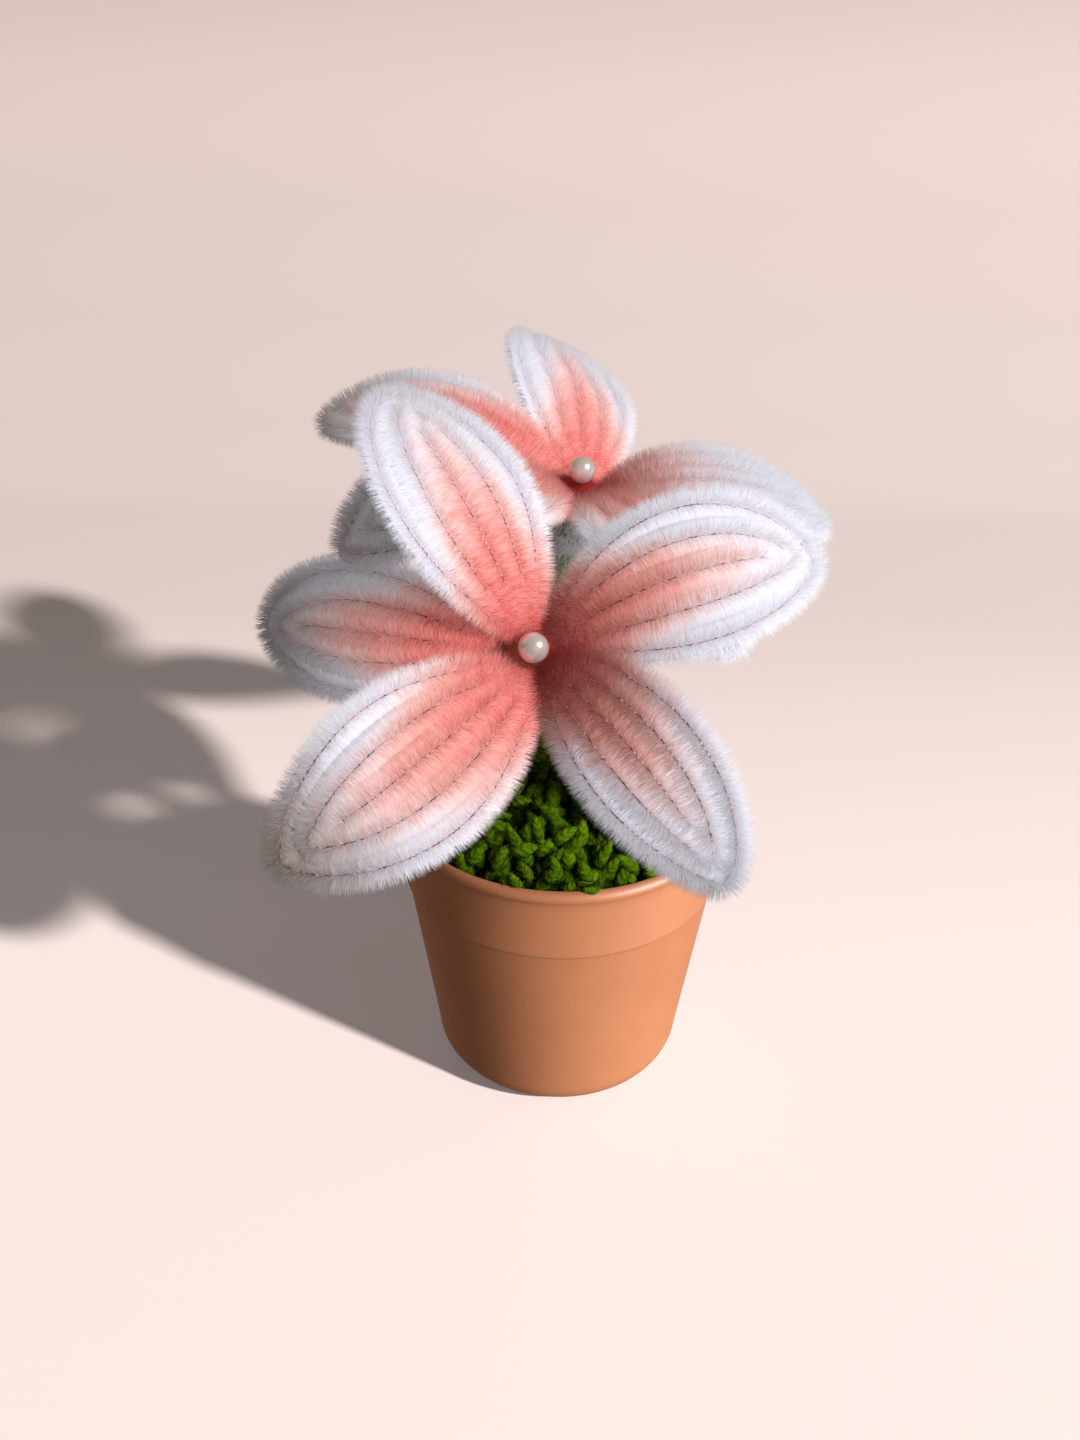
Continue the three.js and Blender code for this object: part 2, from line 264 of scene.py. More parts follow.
def meshOf(name, points, faces, tint, uv=None, lean=None, paintedShade=None):
    mesh = bpy.data.meshes.new(name)
    mesh.vertices.add(len(points))
    mesh.vertices.foreach_set("co", np.ascontiguousarray(points * mm, np.float32).ravel())
    mesh.loops.add(faces.size)
    mesh.loops.foreach_set("vertex_index", np.ascontiguousarray(faces, np.int32).ravel())
    mesh.polygons.add(len(faces))
    mesh.polygons.foreach_set("loop_start", np.arange(0, faces.size, 3, dtype=np.int32))
    mesh.update(calc_edges=True)
    addLayer(mesh, "tint", "FLOAT_COLOR", "color", tint)
    if paintedShade is not None:
        addLayer(mesh, "paintedShade", "FLOAT", "value", paintedShade)
    if uv is not None:
        layer = mesh.uv_layers.new(name="OFBake")
        layer.uv.foreach_set("vector", np.ascontiguousarray(uv, np.float32).ravel())
    mesh.shade_smooth()
    if lean is not None:
        # Fur is lit as the surface it covers: its normals lean towards that surface's own.
        own = np.empty(len(points) * 3, np.float32)
        mesh.vertex_normals.foreach_get("vector", own)
        addLayer(mesh, "custom_normal", "FLOAT_VECTOR", "vector", unit(own.reshape(-1, 3) + lean))
    return mesh


def newMaterial(name):
    material = bpy.data.materials.new(name)
    material.use_nodes = True
    tree = material.node_tree
    return material, tree, tree.nodes["Principled BSDF"]


def setInputs(node, values):
    for name, value in values.items():
        node.inputs[name].default_value = value
    return node


def addNode(tree, kind, values=None, **options):
    node = tree.nodes.new(kind)
    for name, value in options.items():
        setattr(node, name, value)
    return setInputs(node, values or {})


def addRamp(tree, source, stops):
    node = tree.nodes.new("ShaderNodeValToRGB")
    ramp = node.color_ramp
    while len(ramp.elements) < len(stops):
        ramp.elements.new(0.5)
    for element, (place, colour) in zip(ramp.elements, stops):
        element.position = place
        element.color = (*colour, 1)
    tree.links.new(source, node.inputs["Fac"])
    return node.outputs["Color"]


def mixColour(tree, share, first, second, mode="MIX"):
    node = tree.nodes.new("ShaderNodeMix")
    node.data_type = "RGBA"
    node.blend_type = mode
    for socket, value in ((node.inputs[0], share), (node.inputs[6], first), (node.inputs[7], second)):
        if isinstance(value, bpy.types.NodeSocket):
            tree.links.new(value, socket)
        elif isinstance(value, tuple):
            socket.default_value = (*value, 1)
        else:
            socket.default_value = value
    return node.outputs[2]


def doMath(tree, operation, *values):
    node = tree.nodes.new("ShaderNodeMath")
    node.operation = operation
    for socket, value in zip(node.inputs, values):
        if isinstance(value, bpy.types.NodeSocket):
            tree.links.new(value, socket)
        else:
            socket.default_value = value
    return node.outputs[0]


def addBump(tree, height, shader, distance, strength):
    bump = addNode(tree, "ShaderNodeBump", {"Distance": distance * mm, "Strength": strength})
    tree.links.new(height, bump.inputs["Height"])
    tree.links.new(bump.outputs["Normal"], shader.inputs["Normal"])


def grainGroup():
    # Fine moulded or spun grain: a mottled mask and a height, on Object coordinates.
    group = bpy.data.node_groups.new("fineGrain", "ShaderNodeTree")
    for way, names in (("INPUT", ("Patch Scale", "Grain Scale")), ("OUTPUT", ("Mottle", "Grain"))):
        for name in names:
            group.interface.new_socket(name, in_out=way, socket_type="NodeSocketFloat")
    enter = group.nodes.new("NodeGroupInput")
    leave = group.nodes.new("NodeGroupOutput")
    where = group.nodes.new("ShaderNodeTexCoord")
    for name, scale in (("Mottle", "Patch Scale"), ("Grain", "Grain Scale")):
        noise = addNode(group, "ShaderNodeTexNoise", {"Detail": 4.0, "Roughness": 0.6})
        group.links.new(where.outputs["Object"], noise.inputs["Vector"])
        group.links.new(enter.outputs[scale], noise.inputs["Scale"])
        group.links.new(noise.outputs["Fac"], leave.inputs[name])
    return group


fineGrain = grainGroup()


def useGrain(tree, values):
    node = tree.nodes.new("ShaderNodeGroup")
    node.node_tree = fineGrain
    setInputs(node, {"Patch Scale": values["patch"], "Grain Scale": values["grain"]})
    return node.outputs["Mottle"], node.outputs["Grain"]


def readTint(tree):
    tint = addNode(tree, "ShaderNodeAttribute", attribute_name="tint")
    parts = tree.nodes.new("ShaderNodeSeparateColor")
    tree.links.new(tint.outputs["Color"], parts.inputs["Color"])
    return [*parts.outputs, tint.outputs["Alpha"]]


def centred(tree, source, spread):
    # A value about a half becomes one about nothing.
    return doMath(tree, "MULTIPLY", doMath(tree, "SUBTRACT", source, 0.5), spread)


pile = {
    "white": (0.83, 0.86, 0.98),
    "blush": (0.94, 0.76, 0.78),
    "salmon": (0.94, 0.50, 0.47),
    "coral": (0.91, 0.26, 0.23),
    "scarlet": (0.80, 0.12, 0.10),
    "places": {"white": 0.1, "blush": 0.28, "salmon": 0.55, "coral": 0.84, "scarlet": 1.0},
    "deep": (0.36, 0.018, 0.015),
    # Painted shade: brown where the dye runs heavy, grey at the tips.
    "brownShade": (0.42, 0.215, 0.14),
    "greyShade": (0.28, 0.215, 0.175),
    # Painted glow: fibre tips are paled towards this colour, as light shining through them.
    "tip": (0.98, 0.94, 0.95),
    "tipGlowShare": 0.14,
    "patch": 260,
    "grain": 2600,
    "dyeStrength": 0.9,
    "patchiness": 0.36,
    "spottiness": 0.3,
    # From dark fibres to bright ones at random, and painted shade from the root of a fibre, down among the
    # others, to its tip.
    "tones": [(0.0, (0.74, 0.72, 0.71)), (0.5, (0.96, 0.96, 0.96)), (1.0, (1.0, 1.0, 1.0))],
    "roots": [(0.0, (0.62, 0.52, 0.52)), (0.6, (1.0, 1.0, 1.0))],
    "sockets": {"Roughness": 0.55, "Specular IOR Level": 0.2},
}


def pileMaterial():
    # Tint holds the dye, the deep dye of the heart, each fibre's tone and the height up it.
    # The painted shade is brown shade above nothing and grey shade below it.
    material, tree, shader = newMaterial("chenillePile")
    dye, deep, tone, height = readTint(tree)
    paintedShade = addNode(tree, "ShaderNodeAttribute", attribute_name="paintedShade").outputs["Fac"]
    patchy = centred(tree, useGrain(tree, pile)[0], pile["patchiness"])
    level = doMath(tree, "MULTIPLY_ADD", dye, pile["dyeStrength"], patchy)
    level = doMath(tree, "ADD", level, centred(tree, tone, -pile["spottiness"]))
    colour = addRamp(tree, level, [(place, pile[name]) for name, place in pile["places"].items()])
    # Brown painted shade above nothing, grey painted shade below it.
    colour = mixColour(tree, paintedShade, colour, pile["brownShade"])
    colour = mixColour(tree, doMath(tree, "MULTIPLY", paintedShade, -1), colour, pile["greyShade"])
    colour = mixColour(tree, deep, colour, pile["deep"])
    # Tips are painted paler, a painted glow of light through the fibres, but not in the deep dye.
    tipGlow = doMath(tree, "MULTIPLY", height, pile["tipGlowShare"])
    glowShare = doMath(tree, "MULTIPLY", doMath(tree, "SUBTRACT", 1.0, deep), tipGlow)
    colour = mixColour(tree, glowShare, colour, pile["tip"])
    for source, stops in ((tone, pile["tones"]), (height, pile["roots"])):
        colour = mixColour(tree, 1.0, colour, addRamp(tree, source, stops), "MULTIPLY")
    tree.links.new(colour, shader.inputs["Base Color"])
    setInputs(shader, pile["sockets"])
    return material


# Patch and grain are scales. Rough is how far the roughness varies and where it starts, and
# bump is a depth and a strength.
finishes = {
    # Matted pile hides the wire here and there, which leaves the dark dashes seen between.
    # The wire's near-black is painted shade of the partings it lies in.
    "twistedWire": {
        "dark": (0.045, 0.035, 0.035), "bright": (0.60, 0.46, 0.45), "places": (0.46, 0.52),
        "patch": 900, "grain": 4000, "rough": (0.3, 0.35), "sockets": {"Metallic": 0.1},
    },
    "terracottaPlastic": {
        "dark": (0.45, 0.149, 0.060), "bright": (0.49, 0.172, 0.072), "places": (0.3, 0.7),
        "patch": 45, "grain": 2200, "rough": (0.18, 0.42), "bump": (0.02, 0.5),
        "sockets": {"Specular IOR Level": 0.75},
    },
    "pearl": {
        "dark": (0.74, 0.65, 0.62), "bright": (0.84, 0.77, 0.74), "places": (0.3, 0.7),
        "patch": 500, "grain": 3000, "rough": (0.08, 0.2),
        "sockets": {"Metallic": 0.45, "Specular IOR Level": 0.7, "Coat Weight": 0.5,
                    "Coat Roughness": 0.12},
    },
    "castPlaster": {
        "dark": (0.62, 0.58, 0.50), "bright": (0.76, 0.72, 0.65), "places": (0.3, 0.7),
        "patch": 90, "grain": 900, "rough": (0.15, 0.75), "bump": (0.08, 1.0), "sockets": {},
    },
    "drawnSteel": {
        "dark": (0.40, 0.40, 0.41), "bright": (0.58, 0.58, 0.59), "places": (0.3, 0.7),
        "patch": 700, "grain": 4000, "rough": (0.15, 0.25), "bump": (0.01, 1.0),
        "sockets": {"Metallic": 1.0},
    },
    "floralTape": {
        "dark": (0.12, 0.21, 0.05), "bright": (0.24, 0.36, 0.11), "places": (0.3, 0.7),
        "patch": 350, "grain": 1800, "rough": (0.15, 0.6), "bump": (0.12, 1.0), "sockets": {},
    },
}

scuffs = {
    "colour": (0.56, 0.25, 0.14),
    "noise": {"Scale": 420.0, "Detail": 6.0, "Roughness": 0.75},
    "marks": [(0.66, (0, 0, 0)), (0.74, (0.35, 0.35, 0.35))],
}


def addScuffs(tree, colour):
    noise = addNode(tree, "ShaderNodeTexNoise", scuffs["noise"])
    where = tree.nodes.new("ShaderNodeTexCoord")
    tree.links.new(where.outputs["Object"], noise.inputs["Vector"])
    return mixColour(tree, addRamp(tree, noise.outputs["Fac"], scuffs["marks"]), colour, scuffs["colour"])


def grainyMaterial(name, worn=None):
    # Two colours mottled together, on a surface whose roughness and bump follow its grain.
    finish = finishes[name]
    material, tree, shader = newMaterial(name)
    mottle, grain = useGrain(tree, finish)
    colour = addRamp(tree, mottle, list(zip(finish["places"], (finish["dark"], finish["bright"]))))
    if worn:
        colour = worn(tree, colour)
    tree.links.new(colour, shader.inputs["Base Color"])
    tree.links.new(doMath(tree, "MULTIPLY_ADD", grain, *finish["rough"]), shader.inputs["Roughness"])
    if "bump" in finish:
        addBump(tree, grain, shader, *finish["bump"])
    setInputs(shader, finish["sockets"])
    return material


yarn = {
    # Moss runs from near black, painted shade at the lobes' feet and in the bed, to the yarn's green.
    "mossYarn": {"low": (0.004, 0.010, 0.0003), "high": (0.07, 0.135, 0.0015), "stitches": 3.5},
    "stemWool": {"low": (0.52, 0.48, 0.42), "high": (0.86, 0.83, 0.78), "stitches": 0.0},
    "patch": 700,
    "grain": 2400,
    "patchiness": 1.1,
    "plies": 0.13,
    "plyHeight": 2,
    "bump": (0.35, 0.9),
    "sockets": {"Roughness": 0.9, "Specular IOR Level": 0.02},
}


def yarnMaterial(name):
    # Tint holds the tone, the height up the yarn and how far it is from the yarn's middle,
    # so that plies slant out and up from the middle as in a stitch.
    material, tree, shader = newMaterial(name)
    tone, height, aside = readTint(tree)[:3]
    mottle, grain = useGrain(tree, yarn)
    turns = doMath(tree, "MULTIPLY_ADD", height, -yarn[name]["stitches"], aside)
    wave = doMath(tree, "SINE", doMath(tree, "MULTIPLY", turns, 2 * math.pi))
    plies = doMath(tree, "MULTIPLY", wave, yarn["plies"])
    level = doMath(tree, "ADD", tone, plies)
    level = doMath(tree, "ADD", level, centred(tree, mottle, yarn["patchiness"]))
    colour = addRamp(tree, level, [(0.0, yarn[name]["low"]), (1.0, yarn[name]["high"])])
    tree.links.new(colour, shader.inputs["Base Color"])
    addBump(tree, doMath(tree, "MULTIPLY_ADD", plies, yarn["plyHeight"], grain), shader, *yarn["bump"])
    setInputs(shader, yarn["sockets"])
    return material


chenillePile = pileMaterial()
twistedWire = grainyMaterial("twistedWire")
terracottaPlastic = grainyMaterial("terracottaPlastic", addScuffs)
pearlCoat = grainyMaterial("pearl")
plaster = grainyMaterial("castPlaster")
steel = grainyMaterial("drawnSteel")
tape = grainyMaterial("floralTape")
mossYarn = yarnMaterial("mossYarn")
stemWool = yarnMaterial("stemWool")
print("stage: materials")

pot = {
    "height": 59,
    "rim": 32.5,
    "lip": 1.35,
    "lipStart": -44,  # degrees round the lip's roll, where it leaves the collar
    "collar": 31.8,
    "collarDepth": 14.8,
    "stepInset": 0.5,
    "foot": 26,
    "footFillet": 6.5,
    "footFlat": 1,
    "innerRim": 30.9,
    "innerFoot": 24.4,
    "innerFillet": 5,
    "innerRings": (56, 48, 38, 28, 18),
    "floor": 2,
    "wallSteps": 8,
    "wallGap": 0.6,  # from the top of the wall up to the step
    "roundSteps": 14,
    "innerSteps": 8,
    "sides": 144,
    "crease": 40,
    # Points out and up from a corner of the outline: from the wall and from the collar at the
    # step, from the collar below the lip, measured up in lips, and from the rim inside.
    "fromWall": [(0.06, -0.38), (0.2, -0.2)],
    "fromCollar": [(-0.1, 0.02), (0, 0.25), (0, 0.6)],
    "belowLip": [(0, -2.9), (0.02, -2.2), (0.08, -1.4)],
    "insideRim": [(0.1, -0.2), (0, -0.6)],
}


def innerWall(height):
    share = (height - pot["innerFillet"]) / (pot["height"] - pot["lip"] - pot["innerFillet"])
    return pot["innerFoot"] + (pot["innerRim"] - pot["innerFoot"]) * share


def makePot():
    step = pot["height"] - pot["collarDepth"]
    lip = pot["lip"]
    lipCentre = pot["height"] - lip
    corner = pot["floor"] + pot["innerFillet"]
    wallTop = pot["collar"] - pot["stepInset"]
    fillet, innerFillet = pot["footFillet"], pot["innerFillet"]
    profile = [(0, 0), (pot["foot"] - fillet - pot["footFlat"], 0)]
    profile += arcPoints(pot["foot"] - fillet, fillet, fillet, -90, 0, pot["roundSteps"])
    profile += slopePoints((pot["foot"], fillet), (wallTop, step - pot["wallGap"]), pot["wallSteps"])[1:]
    profile += [(wallTop + out, step + up) for out, up in pot["fromWall"]]
    profile += [(pot["collar"] + out, step + up) for out, up in pot["fromCollar"]]
    profile += [(pot["collar"] + out, lipCentre + up * lip) for out, up in pot["belowLip"]]
    profile += arcPoints(pot["rim"] - lip, lipCentre, lip, pot["lipStart"], 90, pot["roundSteps"])
    profile += [(pot["innerRim"] + out, pot["height"] + up) for out, up in pot["insideRim"]]
    profile += [(innerWall(h), h) for h in pot["innerRings"]]
    profile += arcPoints(innerWall(corner) - innerFillet, corner, innerFillet, 0, -90, pot["innerSteps"])
    profile += [(0, pot["floor"])]
    shell = turnedShape("potShell", profile, pot["sides"], pot["crease"])
    finishPiece(shell, "pot_plastic", terracottaPlastic, "pot")


makePot()
print("stage: pot")

# A petal is the turn of its root round the bloom, how it rises there, the slope it droops to,
# how far it sweeps round and how it twists, all in degrees, then its length and half width.
flowers = {
    "front": {
        "base": (-5.8, 8.8, 86.3),
        "tilt": 52.5,
        "facing": -0.5,
        "bead": 9.2,
        "stem": [(-5.8, 19.5, 75.5), (-5.4, 17.5, 67), (-5, 12.5, 57), (-5, 9, 46), (-5, 8.5, 34)],
        "petals": {
            "upper_left": (117.2, 47.6, -48.6, 15.8, 35.3, 70.9, 16.5),
            "right": (24.2, 51.8, -59, -22.4, -2.3, 71, 17),
            "lower_right": (-48.7, 58.8, -55.8, -9.9, 25.2, 70.8, 14.2),
            "lower_left": (229.6, 50.6, -34.7, -30.5, -13.4, 73, 17.5),
            "left": (171.4, 16.7, -63.8, -11.8, -25.1, 70.7, 15.9),
        },
    },
    "back": {
        "base": (1.1, 57.8, 100.4),
        "tilt": 18.7,
        "facing": 34.3,
        "bead": 11.3,
        "stem": [(-1, 60.5, 84), (0.2, 51, 74), (2.5, 37, 68.5), (4.4, 23, 62.5), (5, 13, 53), (5, 9, 43),
                 (5, 8.5, 34)],
        "petals": {
            "top": (95.1, 37.8, -31.9, 40.5, 24.4, 70.9, 17.1),
            "left": (160.8, 40, -49.9, 10.7, -8, 71.2, 16.7),
            "right": (11.4, 34.7, -45.4, -3.4, -2.6, 70.8, 16.8),
            "lower_left": (220.6, 48.5, -48, -8.2, -4.1, 71, 16.5),
            "lower_right": (-60, 48.6, -42.3, -2.3, 7.6, 71, 16.8),
        },
    },
}

# How far the dye has run: along the middle row, along the outer row on the side the
# petal's side axis points to and on the other, how much brown painted shade the petal takes,
# how many millimetres the deep dye reaches from the bead, and how much grey painted shade the tip takes.
dyes = {
    "front_upper_left": (0.74, 0.22, 0.30, 0.0, 9, 0),
    "front_right": (0.72, 0.16, 0.30, 0.18, 13, 0),
    "front_lower_right": (0.70, 0.50, 0.26, 0.45, 24, 0),
    "front_lower_left": (0.80, 0.50, 0.40, 0.15, 10, 0.8),
    "front_left": (0.76, 0.35, 0.35, 0.0, 10, 0.25),
    "back_top": (0.72, 0.26, 0.28, 0.0, 8, 0),
    "back_left": (0.90, 0.64, 0.48, 0.0, 8, 0.45),
    "back_right": (0.46, 0.40, 0.30, 0.15, 20, 0),
    "back_lower_left": (0.70, 0.35, 0.35, 0.15, 12, 0.5),
    "back_lower_right": (0.70, 0.35, 0.35, 0.15, 12, 0),
}

chenille = {
    "fringe": 4.0,  # how far the pile stands off its wire
    "tipInset": 3.9,
    "crossCurve": 2.0,
    "start": 6.5,  # from the bloom's middle, along the heart's slope
    "heartSlope": 45,
    "innerEnd": 0.9,  # where the inner loop and the middle strand end, of the petal's length
    "innerShare": 0.5,
    "innerPower": 8,
    "midEnd": 0.79,
    "midPoints": 160,
    "loopPoints": 601,
    "loopPower": 1.5,  # crowds a loop's points at its tip
    "ribSteps": 160,
    "droopPower": 1.15,
    "sweepFrom": 0.3,
    "twistAtRoot": 0.3,
    "leafPower": 1.25,
    "leafBlunt": 0.35,
    "clawDepth": 0.75,
    "clawLength": 9,
    "rootGap": 0.5,
    "pitch": 1.15,  # one full turn of the fibres round the wires
    "startTurn": 6,  # the most that a strand's first fibre is turned, in radians
    "perMm": 125,
    "radius": 0.055,
    "radiusRange": (0.75, 1.25),
    "rootInset": 0.15,
    "angleSpread": 0.7,
    "lean": 0.07,
    "curl": 0.16,
    "uneven": 0.03,
    "unevenRange": (0.85, 1.06),
    "clump": 40,
    "clumpSpread": 0.03,
    "normalLean": 4.6,
    "ownLean": 0.3,
    "underside": -0.8,  # fibres that point further down than this lean the other way
    "gathered": (6, 14),  # where the pile is drawn in by the heart, along the petal
    "gatheredPile": 0.75,
    "gatheredBacking": 0.6,
    "backing": 3.9,
    "backingThick": 0.3,
    "backingRim": 1.7,
    "rimBlend": 0.2,
    "backingDrop": 0.7,
    "backingTone": 0.6,
    "backingHeight": 0.35,
    "backingStep": 1.0,
    "backingSides": 10,
    "wireStep": 0.25,
    "wireDrop": 0.38,
    "wireWide": 0.22,
    "wireThin": 0.1,
    "wirePitch": 2.3,
    "wireCrease": 60,
    "probe": 0.1,
}

# Where the dye takes on the edge's run, fades out past its run and pales at the rim, and
# where the brown and the grey painted shade set in, as shares of the half width, of the dye or of the
# length.
dyeing = {
    "edge": (0.1, 0.85),
    "fade": (-0.55, 0.3),
    "rim": (0.55, 1.0),
    "rimLoss": 0.35,
    "brownShadeDye": (0.25, 0.8),
    "brownShadeLength": (0.12, 0.35),
    "greyShadeLength": (0.6, 1.0),
}

# A strand's map for the bake: its margins, a fibre's width and the bands round the wires.
bakeMap = {"margin": 0.01, "fibre": 0.0012, "bands": 4, "bandMargin": 0.06}


def flowerAxes(flower):
    tilt, facing = math.radians(flower["tilt"]), math.radians(flower["facing"])
    n = np.array((math.sin(tilt) * math.sin(facing), -math.sin(tilt) * math.cos(facing), math.cos(tilt)))
    e1 = np.array((1.0, 0, 0)) - n * n[0]
    e1 /= np.linalg.norm(e1)
    return np.array((e1, np.cross(n, e1), n))


def midrib(petal):
    turn, rise, droop, sweep, twist, length = petal[:6]
    steps = chenille["ribSteps"]
    s = np.linspace(0, 1, steps + 1)
    slope = np.radians(rise + (droop - rise) * s ** chenille["droopPower"])
    heading = np.radians(turn + sweep * (s - chenille["sweepFrom"]))
    twisted = np.radians(twist * (chenille["twistAtRoot"] + (1 - chenille["twistAtRoot"]) * s))
    outward = np.stack((np.cos(heading), np.sin(heading), 0 * s), 1)
    along = outward * np.cos(slope)[:, None] + np.array((0, 0, 1.0)) * np.sin(slope)[:, None]
    flat = np.cross(np.array((0, 0, 1.0)), outward)
    face = np.cross(along, flat)
    moves = (along[1:] + along[:-1]) * length / steps / 2
    point = np.vstack((np.zeros(3), np.cumsum(moves, 0)))
    side = flat * np.cos(twisted)[:, None] + face * np.sin(twisted)[:, None]
    facing = face * np.cos(twisted)[:, None] - flat * np.sin(twisted)[:, None]
    return s, point, side, facing


def wireHalfWidth(petal, q):
    # A leaf's outline, drawn in to a claw at its root.
    length, half = petal[5:]
    distance = q * (length - chenille["tipInset"])
    leaf = np.maximum(0, np.sin(np.pi * q ** chenille["leafPower"])) ** (1 - chenille["leafBlunt"] * q)
    claw = 1 - chenille["clawDepth"] * np.exp(-((distance / chenille["clawLength"]) ** 2))
    return (half - chenille["fringe"]) * leaf * claw + chenille["rootGap"] * (1 - q)


def lookUp(s, table, places):
    return np.stack([np.interp(places, s, table[:, k]) for k in range(3)], 1)


def measure(path):
    # Distances along the path.
    gaps = np.linalg.norm(np.diff(path, axis=0), axis=1)
    return np.concatenate(([0], np.cumsum(gaps)))


def evenSteps(whole, step):
    return np.linspace(0, whole, max(2, round(whole / step)))


def strandPath(petal, row):
    # Points along a strand's wire with the petal's facing and side there, in the flower's
    # own axes, then the share of the petal's length, the distance across it and the
    # distances along the wire.
    length, half = petal[5:]
    slant = math.cos(math.radians(petal[1] - chenille["heartSlope"]))
    first = chenille["start"] / slant / (length - chenille["tipInset"])
    if row == "mid_strand":
        q = np.linspace(first, chenille["midEnd"], chenille["midPoints"])
        across = 0 * q
    else:
        end = 1.0 if row == "outer_loop" else chenille["innerEnd"]
        run = np.linspace(-1, 1, chenille["loopPoints"])
        t = 1 - np.abs(run)
        q = first + (end - first) * (1 - (1 - t) ** chenille["loopPower"])
        across = wireHalfWidth(petal, q)
        if row == "inner_loop":
            narrowing = np.sqrt(np.maximum(0, 1 - (q / end) ** chenille["innerPower"]))
            across = across * chenille["innerShare"] * narrowing
        across = across * -np.sign(run)
    s, point, side, facing = midrib(petal)
    places = q * (1 - chenille["tipInset"] / length)
    side, facing = unit(lookUp(s, side, places)), unit(lookUp(s, facing, places))
    path = lookUp(s, point, places) + side * across[:, None]
    path = path - facing * (chenille["crossCurve"] * (across / half) ** 2)[:, None]
    return path, facing, side, q, across, measure(path)


def alongStrand(strand, at):
    # At distances along the wire: the place, the ways ahead, up off the petal and out across
    # both, the petal's own side, the share of its length and the distance across it.
    path, facing, side, q, across, measured = strand
    probe = chenille["probe"]
    ahead = unit(lookUp(measured, path, at + probe) - lookUp(measured, path, at - probe))
    up = lookUp(measured, facing, at)
    up = unit(up - ahead * (up * ahead).sum(1)[:, None])
    out = np.cross(ahead, up)
    ownSide = unit(lookUp(measured, side, at))
    share, offset = np.interp(at, measured, q), np.interp(at, measured, across)
    return lookUp(measured, path, at), ahead, up, out, ownSide, share, offset


def smooth(low, high, value):
    share = np.clip((value - low) / (high - low), 0, 1)
    return share * share * (3 - 2 * share)


fibre = fibreShape()


def gatheredTo(least, distance):
    return least + (1 - least) * smooth(*chenille["gathered"], distance)


def dyeAt(node, petal, share, across):
    # The dye, the deep dye and the painted shade at shares of the petal's length and distances across it.
    length, half = petal[5:]
    middle, plusEdge, minusEdge, brownShade, deepReach, greyShade = dyes[node]
    edgeShare = np.abs(across) / half
    edge = np.where(across > 0, plusEdge, minusEdge)
    runs = middle + (edge - middle) * smooth(*dyeing["edge"], edgeShare)
    dye = 1 - smooth(*dyeing["fade"], share - runs)
    dye = dye * (1 - dyeing["rimLoss"] * smooth(*dyeing["rim"], edgeShare))
    deep = np.exp(-((share * length / deepReach) ** 2)) + 0 * dye
    # Brown painted shade grows with the dye away from the heart; grey painted shade grows towards the tip.
    paintedShade = brownShade * smooth(*dyeing["brownShadeDye"], dye) * smooth(*dyeing["brownShadeLength"], share)
    return dye, deep, paintedShade - greyShade * smooth(*dyeing["greyShadeLength"], share)


def makeBacking(node, petalNode, petal, strand, place):
    # The matted pile under the wires: a round bar, closed at both ends, laid along the
    # wire and pressed flat.
    even = evenSteps(strand[-1][-1], chenille["backingStep"])
    profile = [(0, 0)] + [(1, k) for k in range(len(even))] + [(0, len(even) - 1)]
    bar, faces = shapeArrays(spunProfile(profile, chenille["backingSides"]))
    thick, sideways, ring = bar.T / mm
    at = even[np.rint(ring).astype(int)]
    spots, ahead, up, out, ownSide, share, offset = alongStrand(strand, at)
    toSide = (out * ownSide).sum(1) * sideways
    blend = chenille["rimBlend"]
    rim = node.endswith("outer_loop") * smooth(-blend, blend, np.sign(offset) * toSide)
    wide = chenille["backing"] - chenille["backingRim"] * rim
    wide = wide * gatheredTo(chenille["gatheredBacking"], share * petal[5])
    points = spots + out * (wide * sideways)[:, None]
    points = points + up * (chenille["backingThick"] * thick - chenille["backingDrop"])[:, None]
    dye, deep, paintedShade = dyeAt(petalNode, petal, share, offset + toSide * wide)
    flat = np.zeros_like(dye)
    # The backing is tinted as pile part way up, so the painted root shade darkens it too.
    tint = np.stack((dye, deep, flat + chenille["backingTone"], flat + chenille["backingHeight"]), -1)
    mesh = meshOf(node + "_backing", place(points), faces, tint, paintedShade=paintedShade)
    finishPiece(addObject(node + "_backing", mesh), "chenille", chenillePile, node)


def bakeUv(share, angle, faces):
    # Fibres lie side by side along the map, in a band for each quarter of the turn.
    margin, bandMargin = bakeMap["margin"], bakeMap["bandMargin"]
    band = np.floor(((angle + np.pi / 4) % (2 * np.pi)) / (np.pi / 2))
    u = (share * (1 - 2 * margin) + margin)[:, None] + fibre[0][:, 1] * bakeMap["fibre"]
    v = (band[:, None] + bandMargin + (1 - 2 * bandMargin) * fibre[0][:, 2][None]) / bakeMap["bands"]
    return np.stack((u, v), -1).reshape(-1, 2)[faces.ravel()]


